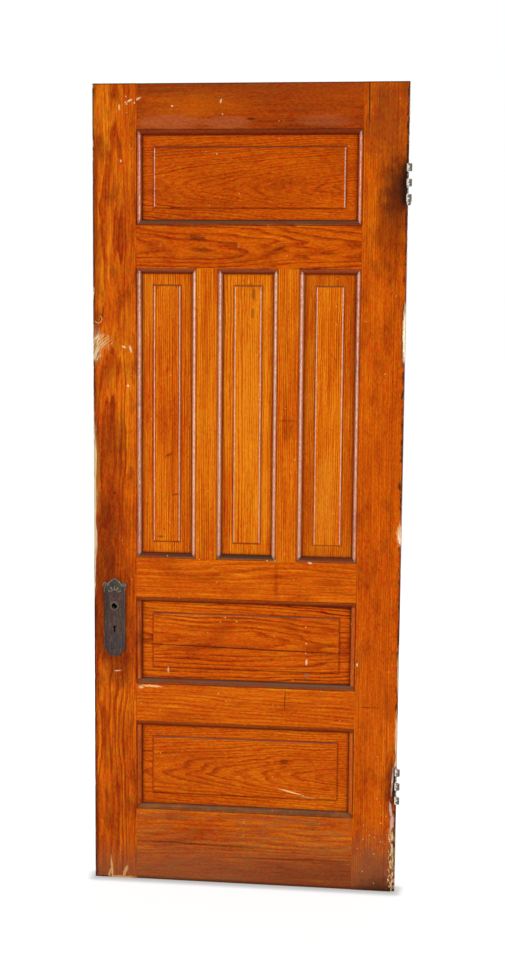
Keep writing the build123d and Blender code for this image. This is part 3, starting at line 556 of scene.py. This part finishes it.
def soil_and_shade_moulding(shader, panel):
    """Dirt and painted shade in the moulding round a panel: painted shade over the panel where it faces down,
    dusty under it, painted shade with dirt in its creases and corners, and dust with painted sheen on the upright
    panels' mouldings.
    """
    middle, half = opening(panel)
    edge = shader.beyond(middle, half)
    head = middle[1] + half[1]
    sill = middle[1] - half[1]
    moulded = shader.smooth(edge, STICKING_WIDTH, STICKING_WIDTH - 3 * MM)
    above = shader.smooth(shader.z, head - 1 * MM, head + 1 * MM)
    below = shader.smooth(shader.z, sill + 1 * MM, sill - 1 * MM)
    upright = panel in UPRIGHT_PANELS
    # dust with painted sheen, heavier on the upright panels' mouldings high on the leaf
    shader.paint(moulded, MOULDING_DUST_AND_SHEEN, 0.55 if upright else 0.1)
    # painted shade on the moulding over the panel, which faces down
    shader.paint(shader.times(moulded, above), DEEP_RED, 0.75)
    shader.paint(shader.times(moulded, below), DIRTY_LEDGE, 0.8)
    # painted shade with dirt in the moulding's quirk and in the corner where it meets the panel
    shader.paint(shader.line_at(edge, STICKING_WIDTH, 1.8 * MM), GRIME_AND_SHADE, 0.45 if upright else 0.7)
    shader.paint(shader.smooth(edge, 2.4 * MM, 0.4 * MM), GRIME_AND_SHADE, 0.35 if upright else 0.6)


def soil_and_shade_ledges(shader, name):
    """Dust on ledges that face up, painted shade on what faces down, and smoke on the leaf's outer edges."""
    inside = shader.smooth(shader.z, TOP - 2 * MM, TOP - 4 * MM)
    shader.paint(shader.times(shader.smooth(shader.up, 0.35, 0.8), inside), DUST, 0.75)
    if name == "lock_rail":
        shader.paint(shader.times(shader.smooth(shader.up, 0.1, 0.5), inside), GRIME_AND_SHADE, 0.6)
    # painted shade: faces that look down are darkened
    shader.paint(shader.smooth(shader.up, -0.3, -0.75), DEEP_RED, 0.7)
    shader.paint(shader.outer, SMOKY, 0.5)


def wood(name, cut):
    """A board's varnished wood with its general dirt, painted shade and painted sheen, and its scattered specks.
    """
    shader = BoardShader(name + "_wood")
    clean_wood(shader, cut)
    if name in PANELS:
        soil_and_shade_panel(shader, name)
    else:
        for panel in PANELS:
            if touches(name, panel):
                soil_and_shade_moulding(shader, panel)
    soil_and_shade_ledges(shader, name)
    shader.flecks(PEACH, 0.85, cells=42, radius=0.060, density=0.030)
    shader.flecks(BARE_WOOD, 0.6, cells=60, radius=0.060, density=0.030)
    shader.flecks(GRIME_AND_SHADE, 0.6, cells=34, radius=0.060, density=0.060)
    return shader


def wear_lock_stile(shader):
    """Red stains, dark round the plate, bare along the left edge and in scratches, with the knob's bore painted
    black as shade.
    """
    edge = shader.minus(shader.x, LEFT)
    shader.mottle(RED_BROWN, 0.5, across=14, high=6, seed=9.0)
    shader.mottle(DEEP_RED, 0.55, across=34, high=9, seed=4.0)
    shader.mottle(DEEP_RED, 0.40, across=90, high=16, seed=12.0)
    band = shader.noise(shader.stretch(shader.place, (60.0, 0.0, 4.0)), detail=3.0)
    banded_edge = shader.minus(edge, shader.times(band, 25 * MM))
    shader.paint(shader.smooth(banded_edge, 2 * MM, -10 * MM), DEEP_RED, 0.65)
    shader.mark((-0.335, 1.120), (34, 60), DEEP_RED, 0.42, ragged=0.9, soft=0.7)
    shader.mark((-0.330, 0.945), (26, 105), RED_BROWN, 0.6, soft=0.6)
    shader.mark((LEFT + 7 * MM, 1.040), (8, 85), OCHRE, 0.7, ragged=0.7, soft=0.4)
    shader.mark((-0.328, 0.990), (3, 3.6), GRIME_AND_SHADE, 0.7, ragged=0.3)
    shader.mark((-0.325, 0.892), (4, 2.4), DUST, 0.5, ragged=0.7)
    shader.mark((-0.334, 0.690), (48, 135), DEEP_RED, 0.75, soft=0.6)
    shader.mark((-0.322, 0.570), (34, 60), DEEP_RED, 0.5, soft=0.6)
    shader.mark((-0.352, 0.860), (24, 130), DEEP_RED, 0.65, ragged=0.6, soft=0.5)
    # painted shade: the wood in the knob's bore painted black
    shader.mark((PLATE_MIDDLE, KNOB_HEIGHT), (9, 9), HOLE_SHADE_BLACK, 1.0, ragged=0.0, soft=0.1)
    shader.paint(shader.times(shader.smooth(shader.z, 0.12, 0.0), shader.front), SCUFFED_BROWN, 0.7)
    shader.side_dirt(edge)
    singed = shader.worn_edge(shader.add(edge, -4 * MM), 5 * MM, across=80.0, high=18.0, seed=14.0)
    shader.paint(singed, SINGED, 0.5)
    bare = shader.worn_edge(edge, 3.5 * MM, across=60.0, high=22.0, seed=3.0)
    shader.paint(bare, CREAM, 0.75)
    shader.mark((LEFT, 0.965), (7, 190), CREAM, 0.75, ragged=0.8, soft=0.3)
    shader.mark((LEFT + 8 * MM, 1.352), (12, 40), PALE_OLIVE, 0.75, ragged=0.6, soft=0.5)
    scrapes = shader.scratched((LEFT + 26 * MM, 1.364), (20, 16), turn=-38, along=14, across=210, cover=0.7)
    shader.paint(scrapes, BARE_WOOD, 0.9)
    scrapes = shader.scratched((LEFT + 9 * MM, 1.350), (12, 34), turn=-65, along=25, across=240, cover=0.6)
    shader.paint(scrapes, CREAM, 0.7)
    ring = shader.from_axis(LEFT + 13 * MM, 1.418)
    lower_right = shader.smooth(shader.minus(shader.x, shader.z), LEFT - 1.412, LEFT - 1.404)
    hook = shader.times(shader.line_at(ring, 9 * MM, 1.8 * MM), lower_right)
    shader.paint(shader.times(hook, shader.front), BARE_WOOD, 0.7)
    shader.mark((-0.304, 1.351), (5, 2), CREAM, 0.9, turn=20, ragged=0.8)
    shader.mark((-0.288, 1.346), (2.4, 8), CREAM, 0.9, turn=-15, ragged=0.6)
    shader.mark((-0.294, 1.256), (3, 2.6), CREAM, 0.85, ragged=0.6)
    shader.mark((LEFT + 43 * MM, 0.024), (2.6, 30), BARE_WOOD, 0.95, turn=-4)
    shader.mark((LEFT + 37 * MM, 0.010), (2.2, 13), BARE_WOOD, 0.9, turn=12)
    shader.mark((LEFT + 78 * MM, 0.018), (4, 14), BARE_WOOD, 0.85, turn=18, ragged=0.9)
    shader.mark((LEFT + 70 * MM, 0.0), (35, 5), BARE_WOOD, 0.8, ragged=0.9)
    shader.mark((LEFT + 20 * MM, 0.0), (20, 4), GRIME_AND_SHADE, 0.8, ragged=0.9)
    shader.mark((-0.322, 0.540), (8, 1.3), CREAM, 0.75, turn=-5, ragged=0.8)
    shader.mark((-0.315, 1.925), (1.6, 7), CREAM, 0.9, ragged=0.4)
    shader.mark((-0.290, 1.940), (6, 2.2), CREAM, 0.8, turn=-30, ragged=0.9)
    shader.mark((-0.311, 1.798), (2, 3), CREAM, 0.8, ragged=0.4)
    within = shader.patch((-0.285, 1.935), (22, 22), ragged=0.3, soft=0.4)
    shader.flecks(CREAM, 0.8, cells=90, radius=0.20, density=0.35, within=within)
    shader.top_dirt()


def wear_hinge_stile(shader):
    """Scorched and dirty by the hinges, splintered and bare along the right edge and foot."""
    edge = shader.minus(RIGHT, shader.x)
    shader.mottle(RED_BROWN, 0.5, across=16, high=6, seed=2.0)
    shader.mottle(DEEP_RED, 0.35, across=30, high=12, seed=7.0)
    shader.mark((0.330, 1.900), (50, 90), SMOKY, 0.55, soft=0.6)
    shader.mark((0.345, 1.640), (40, 100), DEEP_RED, 0.6, ragged=0.6, soft=0.6)
    shader.mark((0.360, 1.738), (34, 72), SINGED, 0.85, ragged=0.4, soft=0.8)
    shader.mark((0.376, 1.742), (13, 55), GRIME_AND_SHADE, 0.9, ragged=0.6, soft=0.6)
    shader.mark((0.331, 1.690), (11, 10), GRIME_AND_SHADE, 0.35, ragged=0.6, soft=0.7)
    shader.mark((0.352, 1.692), (20, 6), DEEP_RED, 0.4, turn=8, ragged=0.8, soft=0.9)
    shader.mark((0.330, 0.030), (80, 90), SCUFFED_BROWN, 0.8, ragged=0.4, soft=0.7)
    shader.mark((0.350, 0.0), (60, 35), GRIME_AND_SHADE, 0.6, ragged=0.4, soft=0.7)
    shader.paint(shader.smooth(shader.z, 0.016, 0.0), GRIME_AND_SHADE, 0.7)
    shader.paint(shader.line_at(shader.x, 0.354, 1.6 * MM), DEEP_RED, 0.35)
    shader.mark((0.286, 1.930), (1.4, 55), GRIME_AND_SHADE, 0.8, ragged=0.3)
    shader.mark((0.310, 0.470), (24, 1.5), GRIME_AND_SHADE, 0.55, ragged=0.8)
    shader.side_dirt(edge)
    dirty = shader.worn_edge(shader.add(edge, -5 * MM), 5 * MM, across=80.0, high=26.0, seed=11.0)
    shader.paint(dirty, GRIME_AND_SHADE, 0.8)
    bare = shader.worn_edge(shader.add(edge, 1.2 * MM), 3 * MM, across=70.0, high=20.0, seed=8.0)
    shader.paint(bare, CREAM, 0.8)
    shader.mark((RIGHT - 8 * MM, 1.385), (2, 70), OLIVE, 0.8)
    shader.mark((RIGHT - 2 * MM, 1.385), (4.5, 65), CREAM, 0.9, ragged=0.7)
    shader.mark((RIGHT - 3 * MM, 0.905), (8, 26), BARE_WOOD, 0.85, ragged=0.7)
    shader.mark((RIGHT - 1 * MM, 0.390), (4, 65), CREAM, 0.8, ragged=0.8)
    shader.mark((RIGHT - 1 * MM, 0.560), (2.5, 60), CREAM, 0.6, ragged=0.8)
    low = shader.times(shader.smooth(shader.z, 0.20, 0.14), shader.front)
    bitten = shader.worn_edge(shader.add(edge, -14 * MM), 14 * MM, across=40.0, high=16.0, seed=5.0)
    shader.paint(shader.times(bitten, low), GRIME_AND_SHADE, 0.75)
    flaked = shader.worn_edge(shader.add(edge, -9 * MM), 22 * MM, across=110.0, high=45.0, seed=6.0)
    shader.paint(shader.times(flaked, low), BARE_WOOD, 0.85)
    flaked = shader.worn_edge(shader.add(edge, -6 * MM), 24 * MM, across=160.0, high=60.0, seed=2.0)
    shader.paint(shader.times(flaked, low), CREAM, 0.8)
    shader.mark((0.368, 0.265), (14, 70), DEEP_RED, 0.85, soft=0.7)
    shader.mark((0.377, 0.275), (6, 45), GRIME_AND_SHADE, 0.9, soft=0.4)
    shader.mark((0.371, 0.285), (2, 34), PINK_WHITE, 0.9, turn=3, ragged=0.6)
    shader.mark((0.368, 0.212), (3, 20), PINK_WHITE, 0.85, turn=-6, ragged=0.7)
    shader.mark((0.372, 0.180), (4, 18), PINK_WHITE, 0.8, turn=5, ragged=0.8)
    shader.mark((0.378, 0.330), (2.5, 10), PINK_WHITE, 0.85, turn=10, ragged=0.6)
    shader.mark((RIGHT - 2 * MM, 0.110), (3, 80), GRIME_AND_SHADE, 0.7, ragged=0.9)
    shader.mark((0.279, 0.577), (2, 4), CREAM, 0.9, ragged=0.4)
    shader.top_dirt()
    within = shader.patch((0.330, 0.10), (50, 120), ragged=0.3, soft=0.5)
    shader.flecks(CREAM, 0.7, cells=70, radius=0.12, density=0.18, within=within)


def wear_top_rail(shader):
    """Smoky top, lapped varnish under it and a few chips."""
    shader.mottle(DEEP_RED, 0.3, across=8, high=20, seed=3.0)
    shader.paint(shader.smooth(shader.z, TOP - 60 * MM, TOP), SMOKY, 0.5)
    shader.mark((-0.130, 1.930), (100, 26), ORANGE, 0.4, soft=0.6)
    shader.mark((-0.190, 1.890), (78, 16), LAPPED_VARNISH, 0.5, ragged=0.2, soft=0.3)
    shader.mark((-0.053, 1.888), (55, 14), LAPPED_VARNISH, 0.5, ragged=0.2, soft=0.3)
    shader.mark((0.180, 1.892), (60, 14), LAPPED_VARNISH, 0.35, ragged=0.3, soft=0.4)
    within = shader.patch((-0.062, 1.905), (30, 4), ragged=0.3, soft=0.4)
    shader.flecks(CREAM, 0.8, cells=75, radius=0.16, density=0.45, within=within)
    shader.top_dirt()
    shader.mark((-0.186, 1.927), (2.4, 2), CREAM, 0.9)
    shader.mark((-0.068, 1.938), (2, 5), CREAM, 0.75, turn=12, ragged=0.8)
    shader.mark((0.005, 1.896), (10, 2.6), SINGED, 0.75, ragged=0.7, soft=0.5)
    shader.mark((-0.270, 1.944), (8, 2), CREAM, 0.8, turn=-25, ragged=1.0)


def wear_frieze_rail(shader):
    """Red stains and three dark scars."""
    shader.mottle(RED_BROWN, 0.55, across=7, high=22, seed=4.0)
    shader.mark((-0.124, 1.615), (22, 7), DEEP_RED, 0.75, turn=10, ragged=0.7, soft=0.5)
    shader.mark((-0.112, 1.587), (26, 5), DEEP_RED, 0.7, turn=5, ragged=0.7, soft=0.5)
    shader.mark((0.075, 1.590), (20, 4), DEEP_RED, 0.7, turn=-20, ragged=0.7, soft=0.5)


def wear_lock_rail(shader):
    """Red stains, and chips along the upper edge."""
    shader.mottle(RED_BROWN, 0.5, across=7, high=22, seed=8.0)
    shader.mark((0.076, 0.775), (5, 50), RED_BROWN, 0.5, ragged=0.7, soft=0.7)
    shader.mark((0.073, 0.836), (3, 6), CREAM, 0.9, ragged=0.7)
    shader.mark((0.159, 0.828), (5, 2.2), CREAM, 0.8, turn=10, ragged=0.7)
    within = shader.patch((0.0, 0.832), (250, 6), ragged=0.3, soft=0.5)
    shader.flecks(CREAM, 0.8, cells=60, radius=0.13, density=0.25, within=within)


def wear_cross_rail(shader):
    """Red stains, two dark cracks and pale chips."""
    shader.mottle(RED_BROWN, 0.4, across=7, high=22, seed=1.0)
    within = shader.patch((-0.06, 0.483), (50, 12), ragged=0.3, soft=0.5)
    shader.flecks(PEACH, 0.9, cells=75, radius=0.15, density=0.35, within=within)
    shader.mark((0.101, 0.482), (1.3, 24), GRIME_AND_SHADE, 0.8, turn=2)
    shader.mark((-0.235, 0.504), (24, 2.4), PEACH, 0.85, turn=2, ragged=0.9)
    shader.mark((-0.262, 0.500), (6, 3), CREAM, 0.7, ragged=0.8)
    shader.mark((0.310, 0.470), (20, 1.6), GRIME_AND_SHADE, 0.6, ragged=0.6)


def wear_bottom_rail(shader):
    """Dull and scuffed, with dark scrapes and a dirty foot."""
    shader.mottle(DULL_BROWN, 0.7, across=7, high=50, seed=6.0)
    shader.mottle(DULL_BROWN, 0.6, across=50, high=80, seed=9.0)
    shader.mottle(DEEP_RED, 0.35, across=14, high=70, seed=2.0)
    shader.paint(shader.times(shader.smooth(shader.z, 0.16, 0.0), shader.front), SCUFFED_BROWN, 0.65)
    shader.paint(shader.smooth(shader.z, 0.012, 0.002), GRIME_AND_SHADE, 0.7)
    shader.mark((0.270, 0.030), (200, 50), DEEP_RED, 0.4, soft=0.7)
    shader.flecks(DUST, 0.8, cells=60, radius=0.10, density=0.12)
    shader.mark((-0.120, 0.098), (170, 2.6), GRIME_AND_SHADE, 0.55, turn=1, ragged=0.7, soft=0.5)
    shader.mark((0.120, 0.070), (140, 2.2), GRIME_AND_SHADE, 0.5, turn=-1, ragged=0.7, soft=0.5)
    shader.mark((0.060, 0.172), (100, 1.4), DUST, 0.6, ragged=0.9)


def wear_top_panel(shader):
    """Red stains, and a few chips near the top."""
    shader.mottle(RED_BROWN, 0.5, across=6, high=19, seed=7.0)
    within = shader.patch((-0.090, 1.816), (22, 5), ragged=0.3, soft=0.4)
    shader.flecks(CREAM, 0.7, cells=75, radius=0.16, density=0.4, within=within)


def wear_middle_panel(shader):
    """A long crack along the field, red stains and scattered chips."""
    shader.mark((-0.010, 0.606), (300, 1.6), GRIME_AND_SHADE, 0.9, turn=1, ragged=0.4)
    shader.mottle(RED_BROWN, 0.5, across=6, high=19, seed=5.0)
    within = shader.patch((-0.04, 0.680), (45, 12), ragged=0.3, soft=0.5)
    shader.flecks(PEACH, 0.9, cells=75, radius=0.16, density=0.40, within=within)
    within = shader.patch((0.16, 0.64), (30, 50), ragged=0.3, soft=0.5)
    shader.flecks(PEACH, 0.9, cells=60, radius=0.12, density=0.14, within=within)
    shader.mark((0.153, 0.577), (2.4, 7), CREAM, 0.9, ragged=0.4)
    shader.mark((0.153, 0.542), (4, 5), GREY, 0.7, ragged=0.4)
    shader.mark((-0.195, 0.545), (2, 8), CREAM, 0.6)


def wear_bottom_panel(shader):
    """Red stains, one long pale scratch and a dark dent."""
    shader.mottle(RED_BROWN, 0.35, across=6, high=19, seed=3.0)
    shader.mark((0.118, 0.243), (30, 2), PEACH, 0.95, turn=13, ragged=0.6)
    shader.mark((0.160, 0.231), (22, 1), BARE_WOOD, 0.7, turn=8, ragged=0.8)
    shader.mark((0.099, 0.320), (12, 7), DEEP_RED, 0.7, soft=0.5)


def wear_centre_panel(shader):
    """A brighter field, and two smoky runs near its top."""
    shader.mark((0.0, 1.280), (36, 200), YELLOW_ORANGE, 0.15, soft=0.8)
    shader.mark((0.014, 1.482), (4, 16), SMOKY, 0.7)
    shader.mark((0.012, 1.436), (4, 12), SMOKY, 0.6)


def wear_left_panel(shader):
    """Three short dark scars."""
    shader.mark((-0.194, 1.087), (10, 3), DEEP_RED, 0.7, turn=-25, ragged=0.9)
    shader.mark((-0.177, 0.989), (7, 2), DEEP_RED, 0.8, turn=-15, ragged=0.9)
    shader.mark((-0.214, 0.883), (8, 3), DEEP_RED, 0.6, ragged=0.9)


def wear_right_mullion(shader):
    """A red stain with a dark line over it."""
    shader.mark((0.101, 1.150), (12, 22), RED_BROWN, 0.5, ragged=0.6, soft=0.6)
    shader.mark((0.101, 1.177), (20, 3), DEEP_RED, 0.5, ragged=0.8, soft=0.5)


def wear_right_panel(shader):
    """A brighter lower field and a redder margin."""
    shader.mark((0.190, 0.980), (26, 110), YELLOW_ORANGE, 0.4, soft=0.7)
    edge = shader.beyond(*opening("right_panel"))
    margin = shader.smooth(edge, 2 * MM - MARGIN_WIDTH, 5 * MM - MARGIN_WIDTH)
    shader.paint(shader.times(margin, shader.front), RED_BROWN, 0.32)


WEAR = {
    "lock_stile": wear_lock_stile,
    "hinge_stile": wear_hinge_stile,
    "top_rail": wear_top_rail,
    "frieze_rail": wear_frieze_rail,
    "lock_rail": wear_lock_rail,
    "cross_rail": wear_cross_rail,
    "bottom_rail": wear_bottom_rail,
    "top_panel": wear_top_panel,
    "middle_panel": wear_middle_panel,
    "bottom_panel": wear_bottom_panel,
    "centre_panel": wear_centre_panel,
    "left_panel": wear_left_panel,
    "right_panel": wear_right_panel,
    "right_mullion": wear_right_mullion,
}


def finish_wood(shader):
    """Puts the board's colour, gloss and relief on the surface."""
    surface = shader.surface
    speckled = shader.node("ShaderNodeHueSaturation")
    hue = shader.add(shader.times(shader.centred(shader.speck), 0.07), 0.5)
    shader.feed(speckled.inputs["Hue"], hue)
    shader.feed(speckled.inputs["Color"], shader.colour)
    shader.feed(surface.inputs["Base Color"], speckled.outputs[0])
    kept = shader.times(shader.gloss(), shader.inverse(shader.outer))
    rubbed = shader.add(shader.times(shader.smooth(shader.speck, 0.38, 0.60), 0.6), 0.4)
    shader.feed(surface.inputs["Coat Weight"], shader.times(kept, rubbed))
    surface.inputs["Coat Roughness"].default_value = 0.32
    surface.inputs["Coat IOR"].default_value = 1.9
    surface.inputs["Specular IOR Level"].default_value = 0.05
    shader.feed(surface.inputs["Roughness"], shader.add(shader.times(shader.fibre, 0.2), 0.28))
    height = shader.minus(shader.times(shader.fibre, 0.6), shader.times(shader.late, 0.4))
    shader.bump(height, strength=0.25, distance=0.4 * MM)
    return shader.material


def dress(name, material):
    """Gives a frame node one material."""
    mesh = nodes[name].data
    mesh.materials.clear()
    mesh.materials.append(material)


for name, cut in BOARDS.items():
    shader = wood(name, cut)
    if name in WEAR:
        WEAR[name](shader)
    dress(name, finish_wood(shader))


def old_metal(name, body, rubbed, cover, rough, metallic, specular=0.3):
    """Dark old metal, rubbed brighter in patches."""
    shader = Shader(name)
    patches = shader.lumps((170.0, 170.0, 170.0))
    fine = shader.lumps((1200.0, 1200.0, 1200.0), detail=3.0)
    bright = shader.smooth(patches, 0.66 - cover * 0.35, 0.8 - cover * 0.35)
    shader.colour = shader.blend(bright, body, rubbed)
    shader.paint(shader.smooth(fine, 0.45, 0.7), GRIME_AND_SHADE, 0.4)
    shader.surface.inputs["Metallic"].default_value = metallic
    shader.surface.inputs["Specular IOR Level"].default_value = specular
    shader.feed(shader.surface.inputs["Roughness"], shader.add(shader.times(fine, 0.3), rough))
    shader.bump(shader.add(patches, shader.times(fine, 0.5)), strength=0.3, distance=0.3 * MM)
    return shader


def finish_metal(shader):
    shader.feed(shader.surface.inputs["Base Color"], shader.colour)
    return shader.material


def plate_finish():
    """Lock plate: brown and bluish old bronze, grime round the relief, pale and green on the crown, a painted
    lighter right side, dust with painted highlight on upward faces, and its knob hole painted black as shade.
    """
    plate = old_metal("plate_metal", BRONZE, RUBBED_BRONZE, cover=0.5, rough=0.6, metallic=0.1)
    ground = plate.smooth(plate.unsigned(plate.y), PLATE_FACE + 0.5 * MM, PLATE_FACE + 0.1 * MM)
    relief = plate.inverse(ground)
    across = plate.minus(plate.x, PLATE_MIDDLE)
    speck = plate.lumps((380.0, 380.0, 300.0), shift=(2.0, 7.0, 4.0), detail=3.0)
    tint = plate.lumps((90.0, 90.0, 60.0), shift=(5.0, 2.0, 8.0))
    bands = plate.lumps((260.0, 260.0, 22.0), shift=(4.0, 1.0, 3.0), detail=3.0)
    # painted highlight: the plate's right half made lighter
    plate.paint(plate.smooth(across, 4 * MM, 22 * MM), PLATE_LIT_SIDE, 0.6)
    plate.paint(plate.smooth(bands, 0.50, 0.64), PALE_BAND, 0.55)
    plate.paint(plate.smooth(bands, 0.47, 0.34), DARK_BAND, 0.6)
    foot = plate.smooth(plate.z, PLATE_BOTTOM + 85 * MM, PLATE_BOTTOM + 15 * MM)
    plate.paint(plate.times(foot, plate.smooth(tint, 0.42, 0.6)), BLUISH_FOOT, 0.6)
    plate.paint(plate.smooth(speck, 0.54, 0.72), PALE_SPECK, 0.5)
    plate.paint(plate.smooth(speck, 0.47, 0.32), DARK_SPECK, 0.75)
    beyond_border = plate.smooth(plate.unsigned(across), 17 * MM, 19 * MM)
    plate.paint(plate.times(ground, beyond_border), GRIME_AND_SHADE, 0.35)
    crown = plate.smooth(plate.z, PLATE_TOP - 44 * MM, PLATE_TOP - 26 * MM)
    plate.paint(plate.times(crown, ground), CROWN_GROUND, 0.6)
    plate.paint(plate.times(crown, plate.smooth(tint, 0.52, 0.42)), GREEN_CROWN, 0.6)
    polished = plate.times(plate.times(crown, relief), plate.smooth(speck, 0.36, 0.56))
    plate.paint(polished, PALE_RELIEF, 0.6)
    knob = plate.from_axis(PLATE_MIDDLE, KNOB_HEIGHT)
    plate.paint(plate.smooth(knob, 12.5 * MM, 11 * MM), COLLAR, 0.6)
    # painted shade: the knob's hole painted black
    plate.paint(plate.smooth(knob, 7.8 * MM, 7.2 * MM), HOLE_SHADE_BLACK)
    # dust with painted highlight on faces that look up
    plate.paint(plate.smooth(plate.up, 0.4, 0.9), DUST_AND_HIGHLIGHT_TOP, 0.4)
    return finish_metal(plate)


def hinge_finish():
    """Hinge leaf: dark iron with slopped white paint, laid heavier on faces that look left and up as a painted
    highlight.
    """
    hinge = old_metal("hinge_metal", HINGE_IRON, RUBBED_HINGE, cover=0.4, rough=0.5, metallic=0.1)
    chipped = hinge.lumps((240.0, 240.0, 240.0), shift=(3.0, 1.0, 7.0))
    # painted highlight: faces that look left and up take more of the white
    near = hinge.add(hinge.times(hinge.across, -0.26), hinge.times(hinge.up, 0.2))
    hinge.paint(hinge.smooth(hinge.add(chipped, near), 0.52, 0.62), WHITE_PAINT_AND_HIGHLIGHT, 0.95)
    return finish_metal(hinge)


def iron_finish():
    """Lock iron, dull and black, painted black as shade round the spindle's hole."""
    iron = old_metal("lock_iron", LOCK_IRON, RUBBED_IRON, cover=0.4, rough=0.55, metallic=0.0, specular=0.0)
    spindle = iron.from_axis(PLATE_MIDDLE, KNOB_HEIGHT)
    # painted shade: black round the spindle's hole, and less metallic there
    iron.paint(iron.smooth(spindle, 15 * MM, 10 * MM), HOLE_SHADE_BLACK)
    iron.feed(iron.surface.inputs["Metallic"], iron.times(iron.smooth(spindle, 10 * MM, 15 * MM), 0.5))
    return finish_metal(iron)


screws = old_metal("screw_steel", SCREW_STEEL, RUBBED_SCREW, cover=0.4, rough=0.4, metallic=0.6)
springs = old_metal("spring_steel", SPRING_STEEL, RUBBED_SPRING, cover=0.4, rough=0.35, metallic=0.9)
METALS = {
    "plate_metal": plate_finish(),
    "hinge_metal": hinge_finish(),
    "lock_iron": iron_finish(),
    "screw_steel": finish_metal(screws),
    "spring_steel": finish_metal(springs),
}
for part in frame["record"]["subparts"]:
    if part["material_slot"] in METALS:
        dress(part["node"], METALS[part["material_slot"]])

# Camera, as the photograph was taken: place in metres, turn in degrees
IMAGE_HEIGHT = 973
FOCAL_PIXELS = 1552
SENSOR_WIDTH = 36.0
CAMERA_PLACE = (0.4644, -3.7643, 1.4841)
CAMERA_TURN = (82.900, -0.472, 6.890)
scene = bpy.context.scene
camera_data = bpy.data.cameras.new("camera")
camera_data.sensor_width = SENSOR_WIDTH
camera_data.lens = FOCAL_PIXELS / IMAGE_HEIGHT * SENSOR_WIDTH
camera = bpy.data.objects.new("camera", camera_data)
camera.location = CAMERA_PLACE
camera.rotation_euler = [math.radians(angle) for angle in CAMERA_TURN]
scene.collection.objects.link(camera)
scene.camera = camera

LAMP_RADIANCE = 5.5


def soft_light(name, place, aim, width, height):
    """A rectangular lamp facing a point."""
    data = bpy.data.lights.new(name, "AREA")
    data.shape = "RECTANGLE"
    data.size = width
    data.size_y = height
    data.energy = LAMP_RADIANCE * math.pi * width * height
    lamp = bpy.data.objects.new(name, data)
    lamp.location = place
    lamp.rotation_mode = "QUATERNION"
    lamp.rotation_quaternion = (Vector(aim) - Vector(place)).to_track_quat("-Z", "Y")
    scene.collection.objects.link(lamp)


soft_light("left_light", place=(-2.4, -1.9, 1.45), aim=(0.0, 0.0, 1.2), width=1.6, height=2.1)
soft_light("right_light", place=(2.5, -1.9, 1.45), aim=(0.0, 0.0, 1.2), width=1.6, height=2.1)
soft_light("back_light", place=(0.0, 3.4, 2.4), aim=(0.0, 0.0, 1.0), width=2.4, height=1.8)

# White studio: white where it is seen and in reflections, softer as a light
AMBIENT = 0.18
WHITE = (1.0, 1.0, 1.0, 1.0)
world = bpy.data.worlds.new("studio")
scene.world = world
world.use_nodes = True
sky = Nodes(world.node_tree)
background = sky.tree.nodes["Background"]
background.inputs["Color"].default_value = WHITE
level = sky.node("ShaderNodeMapRange")
level.inputs["To Min"].default_value = AMBIENT
level.inputs["To Max"].default_value = 1.0
sky.feed(level.inputs["Value"], sky.seen_rays())
sky.feed(background.inputs["Strength"], level.outputs["Result"])

# White floor that keeps a faint shadow, partly real and partly painted into its glow, a little below the worn
# bottom edge
FLOOR_HALF = 30.0
FLOOR_DROP = 4 * MM
floor_mesh = bpy.data.meshes.new("floor")
corners = [
    (-FLOOR_HALF, -FLOOR_HALF, -FLOOR_DROP),
    (FLOOR_HALF, -FLOOR_HALF, -FLOOR_DROP),
    (FLOOR_HALF, FLOOR_HALF, -FLOOR_DROP),
    (-FLOOR_HALF, FLOOR_HALF, -FLOOR_DROP),
]
floor_mesh.from_pydata(corners, [], [(0, 1, 2, 3)])
floor = bpy.data.objects.new("floor", floor_mesh)
scene.collection.objects.link(floor)

# The floor's own light, dimmed round the leaf as a painted contact shadow: least under the leaf, more beside it,
# and full far away, with a little shade on top
GLOW_UNDER = 0.44
GLOW_BESIDE = 0.4
GLOW_FAR = 0.16
BESIDE_REACH = 0.03
FAR_START = 0.3
FAR_FULL = 1.2
FLOOR_GREY = (0.8, 0.8, 0.8, 1.0)
SHADE_GREY = (0.3, 0.3, 0.3, 1.0)


def floor_finish():
    """Pale floor that shines up to white, with a painted contact shadow in its glow near the leaf and the light
    that falls on it laid over.
    """
    ground = Shader("floor")
    ground.surface.inputs["Base Color"].default_value = FLOOR_GREY
    ground.surface.inputs["Roughness"].default_value = 0.9
    ground.surface.inputs["Specular IOR Level"].default_value = 0.0
    beside = ground.highest(ground.minus(ground.unsigned(ground.x), RIGHT), 0.0)
    before = ground.highest(ground.minus(ground.unsigned(ground.y), LEAF_HALF), 0.0)
    away = ground.math("POWER", ground.add(ground.times(beside, beside), ground.times(before, before)), 0.5)
    # painted contact shadow: the glow is weakest under the leaf and grows with distance from it
    shine = ground.add(ground.times(ground.smooth(away, 0.0, BESIDE_REACH), GLOW_BESIDE), GLOW_UNDER)
    shine = ground.add(shine, ground.times(ground.smooth(away, FAR_START, FAR_FULL), GLOW_FAR))
    glow = ground.node("ShaderNodeEmission")
    ground.feed(glow.inputs["Strength"], shine)
    faint = ground.node("ShaderNodeBsdfDiffuse")
    faint.inputs["Color"].default_value = SHADE_GREY
    shadowed = ground.node("ShaderNodeAddShader")
    ground.feed(shadowed.inputs[0], glow.outputs[0])
    ground.feed(shadowed.inputs[1], faint.outputs[0])
    either = ground.node("ShaderNodeMixShader")
    ground.feed(either.inputs["Fac"], ground.seen_rays())
    ground.feed(either.inputs[1], ground.surface.outputs[0])
    ground.feed(either.inputs[2], shadowed.outputs[0])
    ground.feed(ground.tree.nodes["Material Output"].inputs["Surface"], either.outputs[0])
    return ground.material


floor_mesh.materials.append(floor_finish())

scene.view_settings.view_transform = "Standard"
